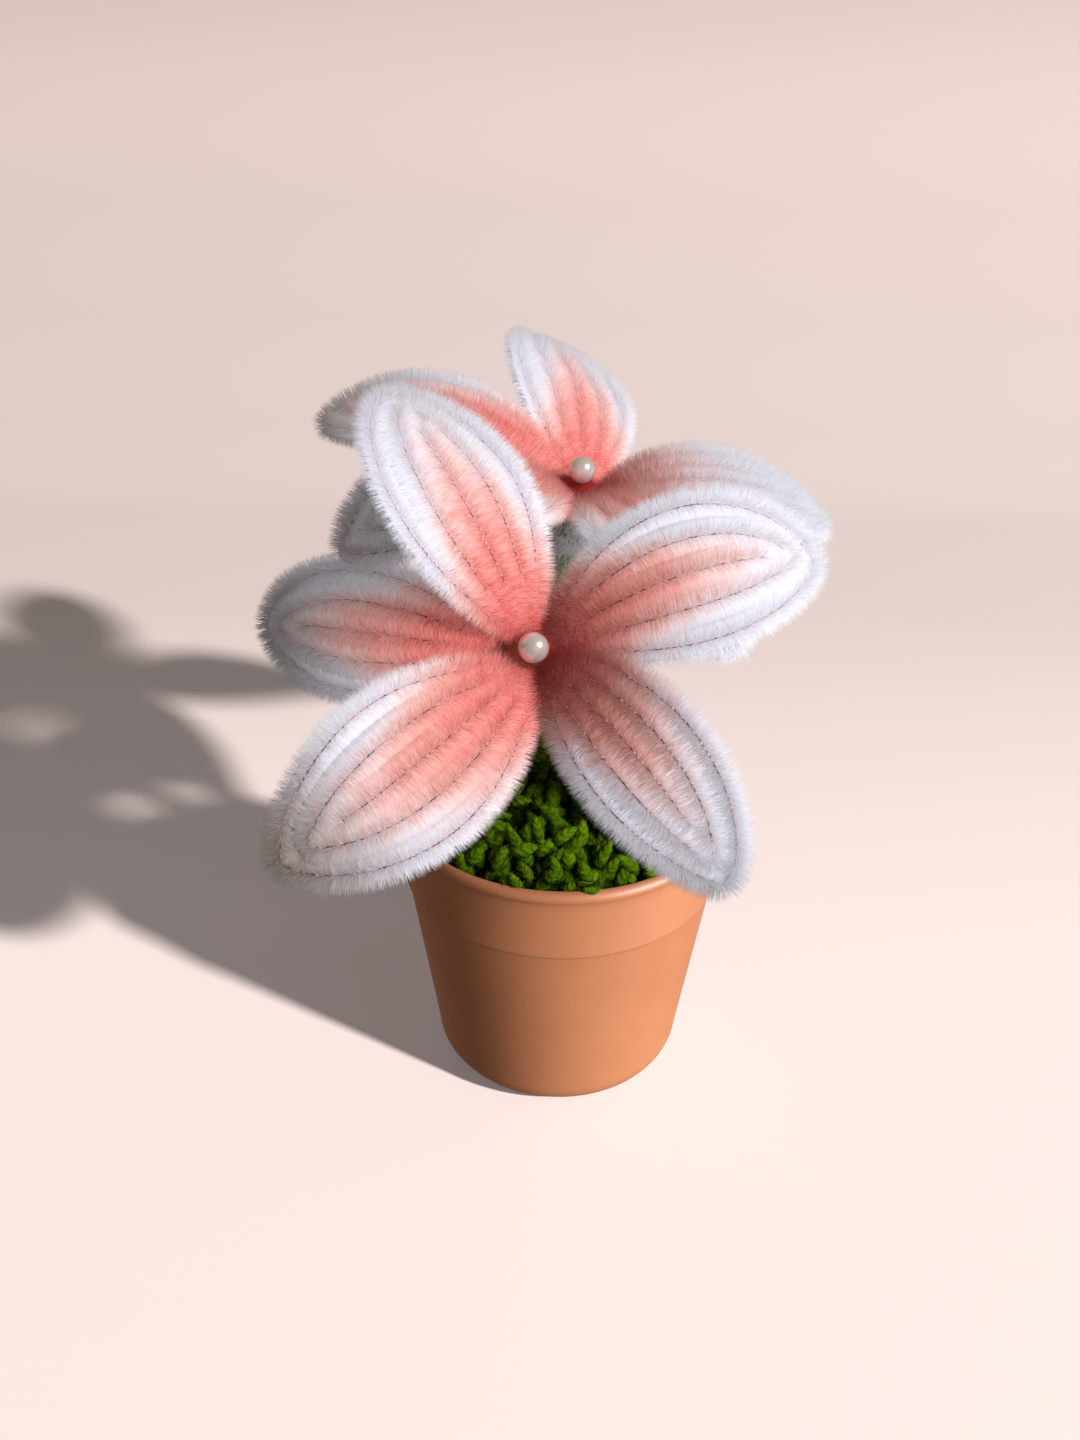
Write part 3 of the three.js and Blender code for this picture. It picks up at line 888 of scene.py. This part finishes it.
def makeStrand(flowerName, flower, name, petal, row, seed):
    rng = np.random.default_rng(seed)
    axes = flowerAxes(flower)
    strand = strandPath(petal, row)
    path, facing, measured = strand[0], strand[1], strand[-1]
    whole = measured[-1]
    count = int(whole * chenille["perMm"])
    at = (np.arange(count) + rng.random(count)) / count * whole
    points, ahead, up, out, ownSide, share, offset = alongStrand(strand, at)

    home = 2 * np.pi * at / chenille["pitch"] + rng.random() * chenille["startTurn"]
    angle = home + rng.normal(0, chenille["angleSpread"], count) + np.pi * rng.integers(0, 2, count)
    ways = out * np.cos(angle)[:, None] + up * np.sin(angle)[:, None]
    ways = unit(ways + ahead * rng.normal(0, chenille["lean"], count)[:, None])
    gathered = gatheredTo(chenille["gatheredPile"], share * petal[5])
    uneven = rng.normal(1, chenille["uneven"], count).clip(*chenille["unevenRange"])
    reach = (chenille["fringe"] - chenille["rootInset"]) * gathered * uneven
    bends = rng.normal(0, chenille["curl"], (count, 3)) * gathered[:, None]
    roots = points + ways * chenille["rootInset"]
    wide = chenille["radius"] * rng.uniform(*chenille["radiusRange"], count)
    placed, faces = plant(fibre, roots, ways, ahead, reach, wide, bends)

    z = fibre[0][:, 2]
    spread = (ways * ownSide).sum(1)
    acrossTip = offset[:, None] + (spread * reach)[:, None] * z
    clump = chenille["clump"]
    drift = np.repeat(rng.normal(0, chenille["clumpSpread"], count // clump + 1), clump)[:count, None]
    dye, deep, paintedShade = dyeAt(f"{flowerName}_{name}", petal, share[:, None] + drift, acrossTip)
    every = np.ones_like(dye)
    tint = np.stack((dye, deep, rng.random(count)[:, None] * every, z * every), -1).reshape(-1, 4)
    above = np.where((ways * up).sum(1) > chenille["underside"], 1.0, -1.0)[:, None]
    lean = (up * above + ways * chenille["ownLean"]) * chenille["normalLean"]
    lean = np.repeat(lean, len(z), 0) @ axes
    node = f"{flowerName}_{name}_{row}"

    def place(rows):
        return rows @ axes + np.array(flower["base"])

    uv = bakeUv(at / whole, angle, faces)
    mesh = meshOf(node + "_pile", place(placed), faces, tint, uv, lean, paintedShade)
    finishPiece(addObject(node + "_pile", mesh), "chenille", chenillePile, node)
    makeBacking(node, f"{flowerName}_{name}", petal, strand, place)
    even = evenSteps(whole, chenille["wireStep"])
    return place(lookUp(measured, path - facing * chenille["wireDrop"], even))


def sectionCurve(name, points):
    curve = bpy.data.curves.new(name, "CURVE")
    curve.dimensions = "2D"
    spline = curve.splines.new("POLY")
    spline.points.add(len(points) - 1)
    spline.points.foreach_set("co", [c for x, y in points for c in (x * mm, y * mm, 0, 1)])
    spline.use_cyclic_u = True
    return bpy.data.objects.new(name, curve)


def twistedBar(name, paths, section, pitch):
    # Bars whose section turns once in each pitch, as twisted wire or wound tape does.
    curve = bpy.data.curves.new(name, "CURVE")
    curve.dimensions = "3D"
    curve.bevel_mode = "OBJECT"
    curve.bevel_object = section
    curve.use_fill_caps = True
    for path in paths:
        spline = curve.splines.new("POLY")
        spline.points.add(len(path) - 1)
        spline.points.foreach_set("co", np.column_stack((path * mm, np.ones(len(path)))).ravel())
        spline.points.foreach_set("tilt", measure(path) * 2 * np.pi / pitch)
    holder = addObject(name + "Curve", curve)
    bpy.context.view_layer.update()
    solid = bpy.data.meshes.new_from_object(holder.evaluated_get(bpy.context.evaluated_depsgraph_get()))
    bpy.data.objects.remove(holder)
    bm = bmesh.new()
    bm.from_mesh(solid)
    bmesh.ops.remove_doubles(bm, verts=bm.verts, dist=weldGap)
    bmesh.ops.recalc_face_normals(bm, faces=bm.faces)
    bm.to_mesh(solid)
    bm.free()
    solid.name = name
    solid.shade_smooth()
    return addObject(name, solid)


def makeFlower(flowerName, flower, seed):
    wires = []
    for i, (name, petal) in enumerate(flower["petals"].items()):
        for k, row in enumerate(("outer_loop", "inner_loop", "mid_strand")):
            wires.append(makeStrand(flowerName, flower, name, petal, row, seed + 10 * i + k))
    wide, thin = chenille["wireWide"], chenille["wireThin"]
    section = sectionCurve(flowerName + "Section", [(wide, 0), (0, thin), (-wide, 0), (0, -thin)])
    piece = twistedBar(flowerName + "_wires", wires, section, chenille["wirePitch"])
    piece.data.set_sharp_from_angle(angle=math.radians(chenille["wireCrease"]))
    finishPiece(piece, "steel_wire", twistedWire)


seeds = {"front": 100, "back": 200, "stem": 400, "heartPile": 500, "moss": 7}

for flowerName, flower in flowers.items():
    makeFlower(flowerName, flower, seeds[flowerName])
print("stage: petals")

bead = {"radius": 3, "bore": 0.8, "boreDepth": 3, "steps": 28, "sides": 56, "crease": 60}

heart = {
    "face": 6.2,
    "lowEdge": 1.87,
    "rimDrop": 0.7,
    "top": 3,
    "sleeve": 2.9,
    "sleeveTop": -5.5,
    "sleeveBottom": -9,
    "sleeveSteps": 6,
    "sleeveGroove": 0.2,
    "coneSteps": 12,
    "coneGroove": 0.22,
    "socketTop": -5,
    "pegDepth": 3,
    "clearance": 0.3,
    "sides": 40,
    "crease": 50,
}

stem = {
    "radius": 1.7,
    "straight": 2.5,  # below the sleeve, along the flower's axis
    "curveSteps": 24,
    "pathStep": 0.5,
    "probe": 0.2,
    "tapePitch": 4.2,
    "tapeStep": 0.16,
    "tapeSides": 16,
    "woolPerMm": 110,
    "woolFrom": 60,  # height above the floor
    "woolInset": 0.3,
    "woolLength": 2.6,
    "woolRange": (0.6, 1.2),
    "woolRadius": 0.09,
    "woolBend": 0.45,
    "woolLean": 0.35,
}

heartPile = {
    "count": 3600,
    "bottom": (2.9, -9),
    "low": (6.9, 1.9),
    "top": (0.9, 6.0),
    "climbPower": 0.8,
    "flare": 7,
    "underDroop": 0.4,
    "length": 3.1,
    "lengthRange": (0.7, 1.1),
    "beadAt": 9,  # the bead's height that gives the fibres their plain length
    "underLength": 0.75,
    "spread": 0.45,
    "bend": 0.4,
    "radius": 0.075,
    "underDye": 0.15,
    "deepInset": 1,
    "normalLean": 1.5,
}


def placeInFlower(piece, flower, height):
    axes = flowerAxes(flower)
    turn = Matrix([list(column) for column in axes.T]).to_4x4()
    spot = Vector(np.array(flower["base"]) + axes[2] * height) * mm
    piece.data.transform(Matrix.Translation(spot) @ turn)


def makeBead(flowerName, flower):
    low = math.sqrt(bead["radius"] ** 2 - bead["bore"] ** 2)
    start = math.degrees(math.atan2(-low, bead["bore"]))
    top = bead["boreDepth"] - bead["radius"]
    profile = [(0, top), (bead["bore"], top)] + arcPoints(0, 0, bead["radius"], start, 90, bead["steps"])
    piece = turnedShape(flowerName + "_pearl", profile, bead["sides"], bead["crease"])
    placeInFlower(piece, flower, flower["bead"])
    finishPiece(piece, "pearl", pearlCoat, flowerName + "_bead")


def makeHeart(flowerName, flower):
    faceSum = heart["face"] * math.sqrt(2)
    low, top = faceSum - heart["lowEdge"], faceSum - heart["top"]
    gap = stem["radius"] + heart["clearance"]
    sleeveBottom, sleeveTop = ((heart["sleeve"], heart[k]) for k in ("sleeveBottom", "sleeveTop"))
    rim = (low, heart["lowEdge"] - heart["rimDrop"])
    profile = [(0, heart["socketTop"]), (gap, heart["socketTop"]), (gap, heart["sleeveBottom"])]
    profile += slopePoints(sleeveBottom, sleeveTop, heart["sleeveSteps"], heart["sleeveGroove"])[:-1]
    profile += slopePoints(sleeveTop, rim, heart["coneSteps"], heart["coneGroove"])
    profile += [(low, heart["lowEdge"]), (heart["top"], top), (bead["bore"], top)]
    profile += [(bead["bore"], top - heart["pegDepth"]), (0, top - heart["pegDepth"])]
    piece = turnedShape(flowerName + "_binding", profile, heart["sides"], heart["crease"])
    placeInFlower(piece, flower, 0)
    finishPiece(piece, "floral_tape", tape, flowerName + "_heart")


def makeHeartPile(flowerName, flower, seed):
    # The fibres crushed together between the petals' wires and the bead, and below them.
    rng = np.random.default_rng(seed)
    count = heartPile["count"] * 2
    above = (np.arange(count) < heartPile["count"])[:, None]
    around = rng.uniform(0, 2 * np.pi, count)
    climb = rng.random((count, 1)) ** heartPile["climbPower"]
    low = np.array(heartPile["low"])
    far = np.where(above, heartPile["top"], heartPile["bottom"])
    radius, height = (low + (far - low) * climb).T[..., None]
    outward = np.stack((np.cos(around), np.sin(around), 0 * around), 1)
    upward = np.array((0, 0, 1.0))
    upper = outward * radius / heartPile["flare"] + upward
    under = outward - upward * heartPile["underDroop"]
    facing = unit(np.where(above, upper, under))
    ways = facing + rng.normal(0, heartPile["spread"], (count, 3))
    share = np.where(above[:, 0], flower["bead"] / heartPile["beadAt"], heartPile["underLength"])
    lengths = heartPile["length"] * share * rng.uniform(*heartPile["lengthRange"], count)
    sides = unit(rng.normal(0, 1, (count, 3)))
    radii = np.full(count, heartPile["radius"])
    bends = rng.normal(0, heartPile["bend"], (count, 3))
    placed, faces = plant(fibre, outward * radius + upward * height, ways, sides, lengths, radii, bends)
    turns = np.radians([petal[0] for petal in flower["petals"].values()])
    nearest = np.abs(np.angle(np.exp(1j * (around[:, None] - turns)))).argmin(1)
    reach = np.array([dyes[f"{flowerName}_{name}"][4] for name in flower["petals"]])[nearest, None]
    z = fibre[0][:, 2]
    every = np.ones((count, len(z)))
    dye = np.where(above, 1, heartPile["underDye"]) * every
    deep = np.where(above, np.exp(-((radius + heartPile["deepInset"]) / reach) ** 2), 0) * every
    tint = np.stack((dye, deep, rng.random((count, 1)) * every, z * every), -1).reshape(-1, 4)
    axes = flowerAxes(flower)
    lean = np.repeat(facing * heartPile["normalLean"], len(z), 0) @ axes
    mesh = meshOf(flowerName + "HeartPile", placed @ axes + np.array(flower["base"]), faces, tint, lean=lean)
    finishPiece(addObject(flowerName + "_heartPile", mesh), "chenille", chenillePile)


def catmullRom(points, count):
    # Centripetal curve through the points, as the stem's solid follows.
    rows = np.array(points, float)
    rows = np.vstack((2 * rows[0] - rows[1], rows, 2 * rows[-1] - rows[-2]))
    found = []
    for a, b, c, d in zip(rows, rows[1:], rows[2:], rows[3:]):
        k0 = 0
        k1 = k0 + np.linalg.norm(b - a) ** 0.5
        k2 = k1 + np.linalg.norm(c - b) ** 0.5
        k3 = k2 + np.linalg.norm(d - c) ** 0.5
        t = np.linspace(k1, k2, count, endpoint=False)[:, None]
        ab = (k1 - t) / (k1 - k0) * a + (t - k0) / (k1 - k0) * b
        bc = (k2 - t) / (k2 - k1) * b + (t - k1) / (k2 - k1) * c
        cd = (k3 - t) / (k3 - k2) * c + (t - k2) / (k3 - k2) * d
        abc = (k2 - t) / (k2 - k0) * ab + (t - k0) / (k2 - k0) * bc
        bcd = (k3 - t) / (k3 - k1) * bc + (t - k1) / (k3 - k1) * cd
        found.append((k2 - t) / (k2 - k1) * abc + (t - k1) / (k2 - k1) * bcd)
    return np.vstack(found + [rows[-2:-1]])


def makeStem(flowerName, flower):
    n = flowerAxes(flower)[2]
    bottom = heart["sleeveBottom"]
    heights = (heart["socketTop"] - heart["clearance"], bottom, bottom - stem["straight"])
    onAxis = [np.array(flower["base"]) + n * height for height in heights]
    path = catmullRom([*onAxis, *flower["stem"]], stem["curveSteps"])
    measured = measure(path)
    even = evenSteps(measured[-1], stem["pathStep"])
    path = lookUp(measured, path, even)
    shares = [i / stem["tapeSides"] for i in range(stem["tapeSides"])]
    rings = [(stem["radius"] - stem["tapeStep"] * a, 2 * math.pi * a) for a in shares]
    outline = [(radius * math.cos(a), radius * math.sin(a)) for radius, a in rings]
    section = sectionCurve(flowerName + "TapeSection", outline)
    piece = twistedBar(flowerName + "_woundStem", [path], section, stem["tapePitch"])
    finishPiece(piece, "floral_tape", tape, flowerName + "_stem")
    return path, even


def makeStemWool(flowerName, path, even, seed):
    rng = np.random.default_rng(seed)
    whole, probe = even[-1], stem["probe"]
    at = rng.uniform(0, whole, int(whole * stem["woolPerMm"]))
    at = at[lookUp(even, path, at)[:, 2] > stem["woolFrom"]]
    points = lookUp(even, path, at)
    count = len(points)
    ahead = unit(lookUp(even, path, at + probe) - lookUp(even, path, at - probe))
    ways = unit(np.cross(ahead, unit(rng.normal(0, 1, (count, 3)))))
    sleeved = at < heart["socketTop"] - heart["sleeveBottom"]
    surface = np.where(sleeved, heart["sleeve"], stem["radius"]) - stem["woolInset"]
    roots = points + ways * surface[:, None]
    lengths = stem["woolLength"] * rng.uniform(*stem["woolRange"], count)
    bends = rng.normal(0, stem["woolBend"], (count, 3))
    ways = ways + ahead * rng.normal(0, stem["woolLean"], count)[:, None]
    radii = np.full(count, stem["woolRadius"])
    placed, faces = plant(fibre, roots, ways, ahead, lengths, radii, bends)
    tint = np.repeat(rng.random(count), len(fibre[0]))[:, None] * np.ones(4)
    wool = addObject(flowerName + "_stemWool", meshOf(flowerName + "StemWool", placed, faces, tint))
    finishPiece(wool, "chenille", stemWool)


for i, (flowerName, flower) in enumerate(flowers.items()):
    makeBead(flowerName, flower)
    makeHeart(flowerName, flower)
    makeHeartPile(flowerName, flower, seeds["heartPile"] + i)
    stemPath = makeStem(flowerName, flower)
    makeStemWool(flowerName, *stemPath, seeds["stem"] + i)
    finishHidden(flowerName + "_bead_peg", steel, litSoft)
finishHidden("filler_plug", plaster, litHard)
print("stage: beads, hearts and stems")

# Ranges are the least and the most, and spreads a middle and how far it varies.
moss = {
    "edge": 30.2,
    "low": 56.5,
    "rise": 14,
    "domePower": 1.6,
    "bedFoot": 28.6,
    "bedDepth": 6,
    "bedInset": 0.4,
    "bedDrop": 1.6,
    "bedRings": 14,
    "bedSides": 64,
    "crease": 35,
    "rowStart": 0.6,
    "rowGap": 2.4,
    "lobeGap": 2.6,
    "gapSpread": (0, 0.09),
    "hollow": (-9.5, -18),
    "hollowReach": 4.6,
    "lobeLength": 5.8,
    "lengthRange": (0.75, 1.15),
    "lobeWidth": 1.35,
    "widthRange": (0.8, 1.15),
    "lean": 0.42,
    "leanSpread": (0, 0.4),
    "riseSpread": (0.32, 0.25),
    "sinkRange": (-1.8, 0.1),
    "bendSpread": (-1.2, 0.6),
    "toneRange": (0.25, 0.75),
    "paintedShadeRise": 0.5,
    "paintedShadeMiddle": 0.4,
    "fuzzEach": 80,
    "fuzzLength": 0.8,
    "fuzzRange": (0.4, 1.3),
    "fuzzRadius": 0.055,
    "fuzzInset": 0.1,
    "fuzzSpread": (0, 0.45),
    "fuzzBend": (0, 0.3),
    "fuzzTone": (0.05, 0.12),
}

lobe = {
    "segments": 10,
    "rings": 5,
    "plies": 5,
    "plyDepth": 0.14,
    "foot": 1.2,
    "drawnIn": 0.7,
    "drawnPower": 1.5,
    "flat": 0.8,
    "slant": (0.61, 0.37, 1.0),
}


def domePoint(share):
    radius = moss["edge"] * (1 - share ** moss["domePower"])
    return radius, moss["low"] + moss["rise"] * math.sin(share * math.pi / 2)


def inOrder(points, faces):
    # The order of a sphere's points changes from run to run, and the fuzz is planted on the
    # faces by number, so both are sorted along a slant. A face starts at its middle point.
    order = np.argsort(points @ np.array(lobe["slant"]))
    faces = np.argsort(order)[faces]
    starts = np.argsort(faces, axis=1)[:, 1:2]
    faces = np.take_along_axis(faces, (starts + np.arange(3)) % 3, 1)
    return points[order], faces[np.lexsort(faces.T)]


def lobeShape():
    # A short twist of yarn, fat low down and drawn in at both ends.
    bm = bmesh.new()
    bmesh.ops.create_uvsphere(bm, u_segments=lobe["segments"], v_segments=lobe["rings"], radius=1)
    for v in bm.verts:
        height = (v.co.z + 1) / 2
        turn = math.atan2(v.co.y, v.co.x)
        ply = 1 + lobe["plyDepth"] * math.cos(lobe["plies"] * turn)
        drawn = lobe["foot"] - lobe["drawnIn"] * height ** lobe["drawnPower"]
        wide = math.hypot(v.co.x, v.co.y) * ply * drawn
        turn += height
        v.co = Vector((math.cos(turn) * wide, math.sin(turn) * wide * lobe["flat"], height))
    return inOrder(*shapeArrays(bm))


def makeMossBed():
    # The bed carries no tint, so it takes the near-black end of the moss: painted shade between the lobes.
    foot = moss["low"] - moss["bedDepth"]
    dome = [domePoint(k / moss["bedRings"]) for k in range(moss["bedRings"] + 1)]
    profile = [(0, foot), (moss["bedFoot"], foot)]
    profile += [(max(r - moss["bedInset"], 0), z - moss["bedDrop"]) for r, z in dome]
    bed = turnedShape("mossBed", profile, moss["bedSides"], moss["crease"])
    finishPiece(bed, "yarn_moss", mossYarn, "moss_mound")


def lobePlaces(rng):
    # Rows of lobes up the dome, leaning to one side and the other by turns, but for a hollow
    # where the bed's painted shade shows through.
    radii, heights = np.array([domePoint(s) for s in np.linspace(0, 1, 400)]).T
    run = np.concatenate(([0], np.cumsum(np.hypot(np.diff(radii), np.diff(heights)))))
    roots, ways, ups, lengths = [], [], [], []
    for row in range(int(run[-1] / moss["rowGap"]) + 1):
        distance = row * moss["rowGap"] + moss["rowStart"]
        r, z = np.interp(distance, run, radii), np.interp(distance, run, heights)
        r2, z2 = np.interp(distance + 1, run, radii), np.interp(distance + 1, run, heights)
        count = max(1, round(2 * math.pi * r / moss["lobeGap"]))
        for i in range(count):
            around = 2 * math.pi * (i + 0.5 * (row % 2) + rng.normal(*moss["gapSpread"])) / count
            outward = np.array((math.cos(around), math.sin(around), 0))
            level = np.array((-math.sin(around), math.cos(around), 0))
            climb = outward * (r2 - r) + np.array((0, 0, z2 - z))
            climb = climb / np.linalg.norm(climb)
            up = np.cross(climb, level) * -1
            lean = (moss["lean"] if i % 2 else -moss["lean"]) + rng.normal(*moss["leanSpread"])
            way = climb * math.cos(lean) + level * math.sin(lean) + up * rng.normal(*moss["riseSpread"])
            root = outward * r + np.array((0, 0, z)) + up * rng.uniform(*moss["sinkRange"])
            if math.dist(root[:2], moss["hollow"]) < moss["hollowReach"]:
                continue
            roots.append(root)
            ways.append(way)
            ups.append(up)
            lengths.append(moss["lobeLength"] * rng.uniform(*moss["lengthRange"]))
    return (np.array(rows) for rows in (roots, ways, ups, lengths))


def makeMossYarn(rng):
    roots, ways, ups, lengths = lobePlaces(rng)
    count = len(roots)
    wide = moss["lobeWidth"] * rng.uniform(*moss["widthRange"], count)
    bends = ups * rng.normal(*moss["bendSpread"], count)[:, None]
    shape = lobeShape()
    placed, faces = plant(shape, roots, ways, ups, lengths, wide, bends)
    x, y, z = shape[0].T
    # Lobes are painted darker low down and lighter at the top: painted shade between them and painted light
    # on their tops.
    level = rng.uniform(*moss["toneRange"], count)[:, None] + moss["paintedShadeRise"] * (z - moss["paintedShadeMiddle"])
    every = np.ones_like(level)
    tint = np.stack((level, z * every, abs(x) * every, every), -1).reshape(-1, 4)
    finishPiece(addObject("mossYarn", meshOf("mossYarn", placed, faces, tint)), "yarn_moss", mossYarn)
    return placed, faces, level.reshape(-1), count


def makeMossFuzz(rng, placed, faces, level, lobes):
    corners = placed[faces]
    facing = np.cross(corners[:, 1] - corners[:, 0], corners[:, 2] - corners[:, 0])
    picks = rng.integers(0, len(faces), lobes * moss["fuzzEach"])
    count = len(picks)
    spots = (corners[picks] * rng.dirichlet((1, 1, 1), count)[..., None]).sum(1)
    grow = unit(facing[picks]) + rng.normal(*moss["fuzzSpread"], (count, 3))
    lengths = moss["fuzzLength"] * rng.uniform(*moss["fuzzRange"], count)
    bends = rng.normal(*moss["fuzzBend"], (count, 3))
    side = unit(rng.normal(0, 1, (count, 3)))
    roots = spots - unit(grow) * moss["fuzzInset"]
    radii = np.full(count, moss["fuzzRadius"])
    hair, hairFaces = plant(fibre, roots, grow, side, lengths, radii, bends)
    # Fuzz takes its lobe's tone, with the painted shade and light.
    tone = level[faces[picks][:, 0]] + rng.normal(*moss["fuzzTone"], count)
    tint = np.repeat(np.repeat(tone, len(fibre[0]))[:, None], 4, 1)
    finishPiece(addObject("mossFuzz", meshOf("mossFuzz", hair, hairFaces, tint)), "yarn_moss", mossYarn)


makeMossBed()
mossRandom = np.random.default_rng(seeds["moss"])
makeMossFuzz(mossRandom, *makeMossYarn(mossRandom))
print("stage: moss")

backdrop = {
    "front": -2400,
    "back": 620,
    "half": 2400,
    "bend": 260,
    "bendSteps": 15,
    "height": 1500,
    "patch": 3,
    "grain": 400,
    "mottle": 0.01,
    # Paper painted lighter at the front and darker towards the wall, a painted falloff of light, as
    # shares of the way to the wall, and deeper where the bend faces the lamp, so that no band shows in it.
    "shades": [(0.06, (0.63, 0.535, 0.515)), (0.40, (0.505, 0.418, 0.398)), (0.62, (0.503, 0.415, 0.396)),
               (0.74, (0.438, 0.362, 0.345)), (0.86, (0.411, 0.340, 0.324)), (0.94, (0.422, 0.348, 0.333)),
               (0.99, (0.465, 0.384, 0.367))],
    "sockets": {"Roughness": 0.9, "Specular IOR Level": 0.1},
}


def floorSheet():
    bm = bmesh.new()
    half, bend, steps = backdrop["half"] * mm, backdrop["bend"], backdrop["bendSteps"]
    start = backdrop["back"] - bend
    turns = [math.radians(90 * k / steps) for k in range(1, steps + 1)]
    line = [(backdrop["front"], 0), (start, 0)]
    line += [(start + bend * math.sin(a), bend * (1 - math.cos(a))) for a in turns]
    line.append((backdrop["back"], backdrop["height"]))
    corners = [bm.verts.new((-half, y * mm, z * mm)) for y, z in line]
    edges = [bm.edges.new(pair) for pair in zip(corners, corners[1:])]
    grown = bmesh.ops.extrude_edge_only(bm, edges=edges)["geom"]
    moved = [g for g in grown if isinstance(g, bmesh.types.BMVert)]
    bmesh.ops.translate(bm, verts=moved, vec=(2 * half, 0, 0))
    bmesh.ops.recalc_face_normals(bm, faces=bm.faces)
    return fromBmesh("paleFloor", bm)


def paperMaterial():
    material, tree, shader = newMaterial("palePaper")
    mottle = useGrain(tree, backdrop)[0]
    where = tree.nodes.new("ShaderNodeTexCoord")
    place = tree.nodes.new("ShaderNodeSeparateXYZ")
    tree.links.new(where.outputs["Object"], place.inputs["Vector"])
    uneven = doMath(tree, "MULTIPLY", mottle, backdrop["mottle"])
    deeper = doMath(tree, "MULTIPLY_ADD", place.outputs["Y"], 1 / (backdrop["back"] * mm), uneven)
    tree.links.new(addRamp(tree, deeper, backdrop["shades"]), shader.inputs["Base Color"])
    setInputs(shader, backdrop["sockets"])
    return material


def makeFloor():
    floor = floorSheet()
    floor.data.shade_smooth()
    floor.data.materials.append(paperMaterial())
    litHard.objects.link(floor)
    litPaper.objects.link(floor)
    # In the photo the paper throws no light back on the pot.
    floor.visible_diffuse = False
    floor.visible_glossy = False


makeFloor()
print("stage: floor")
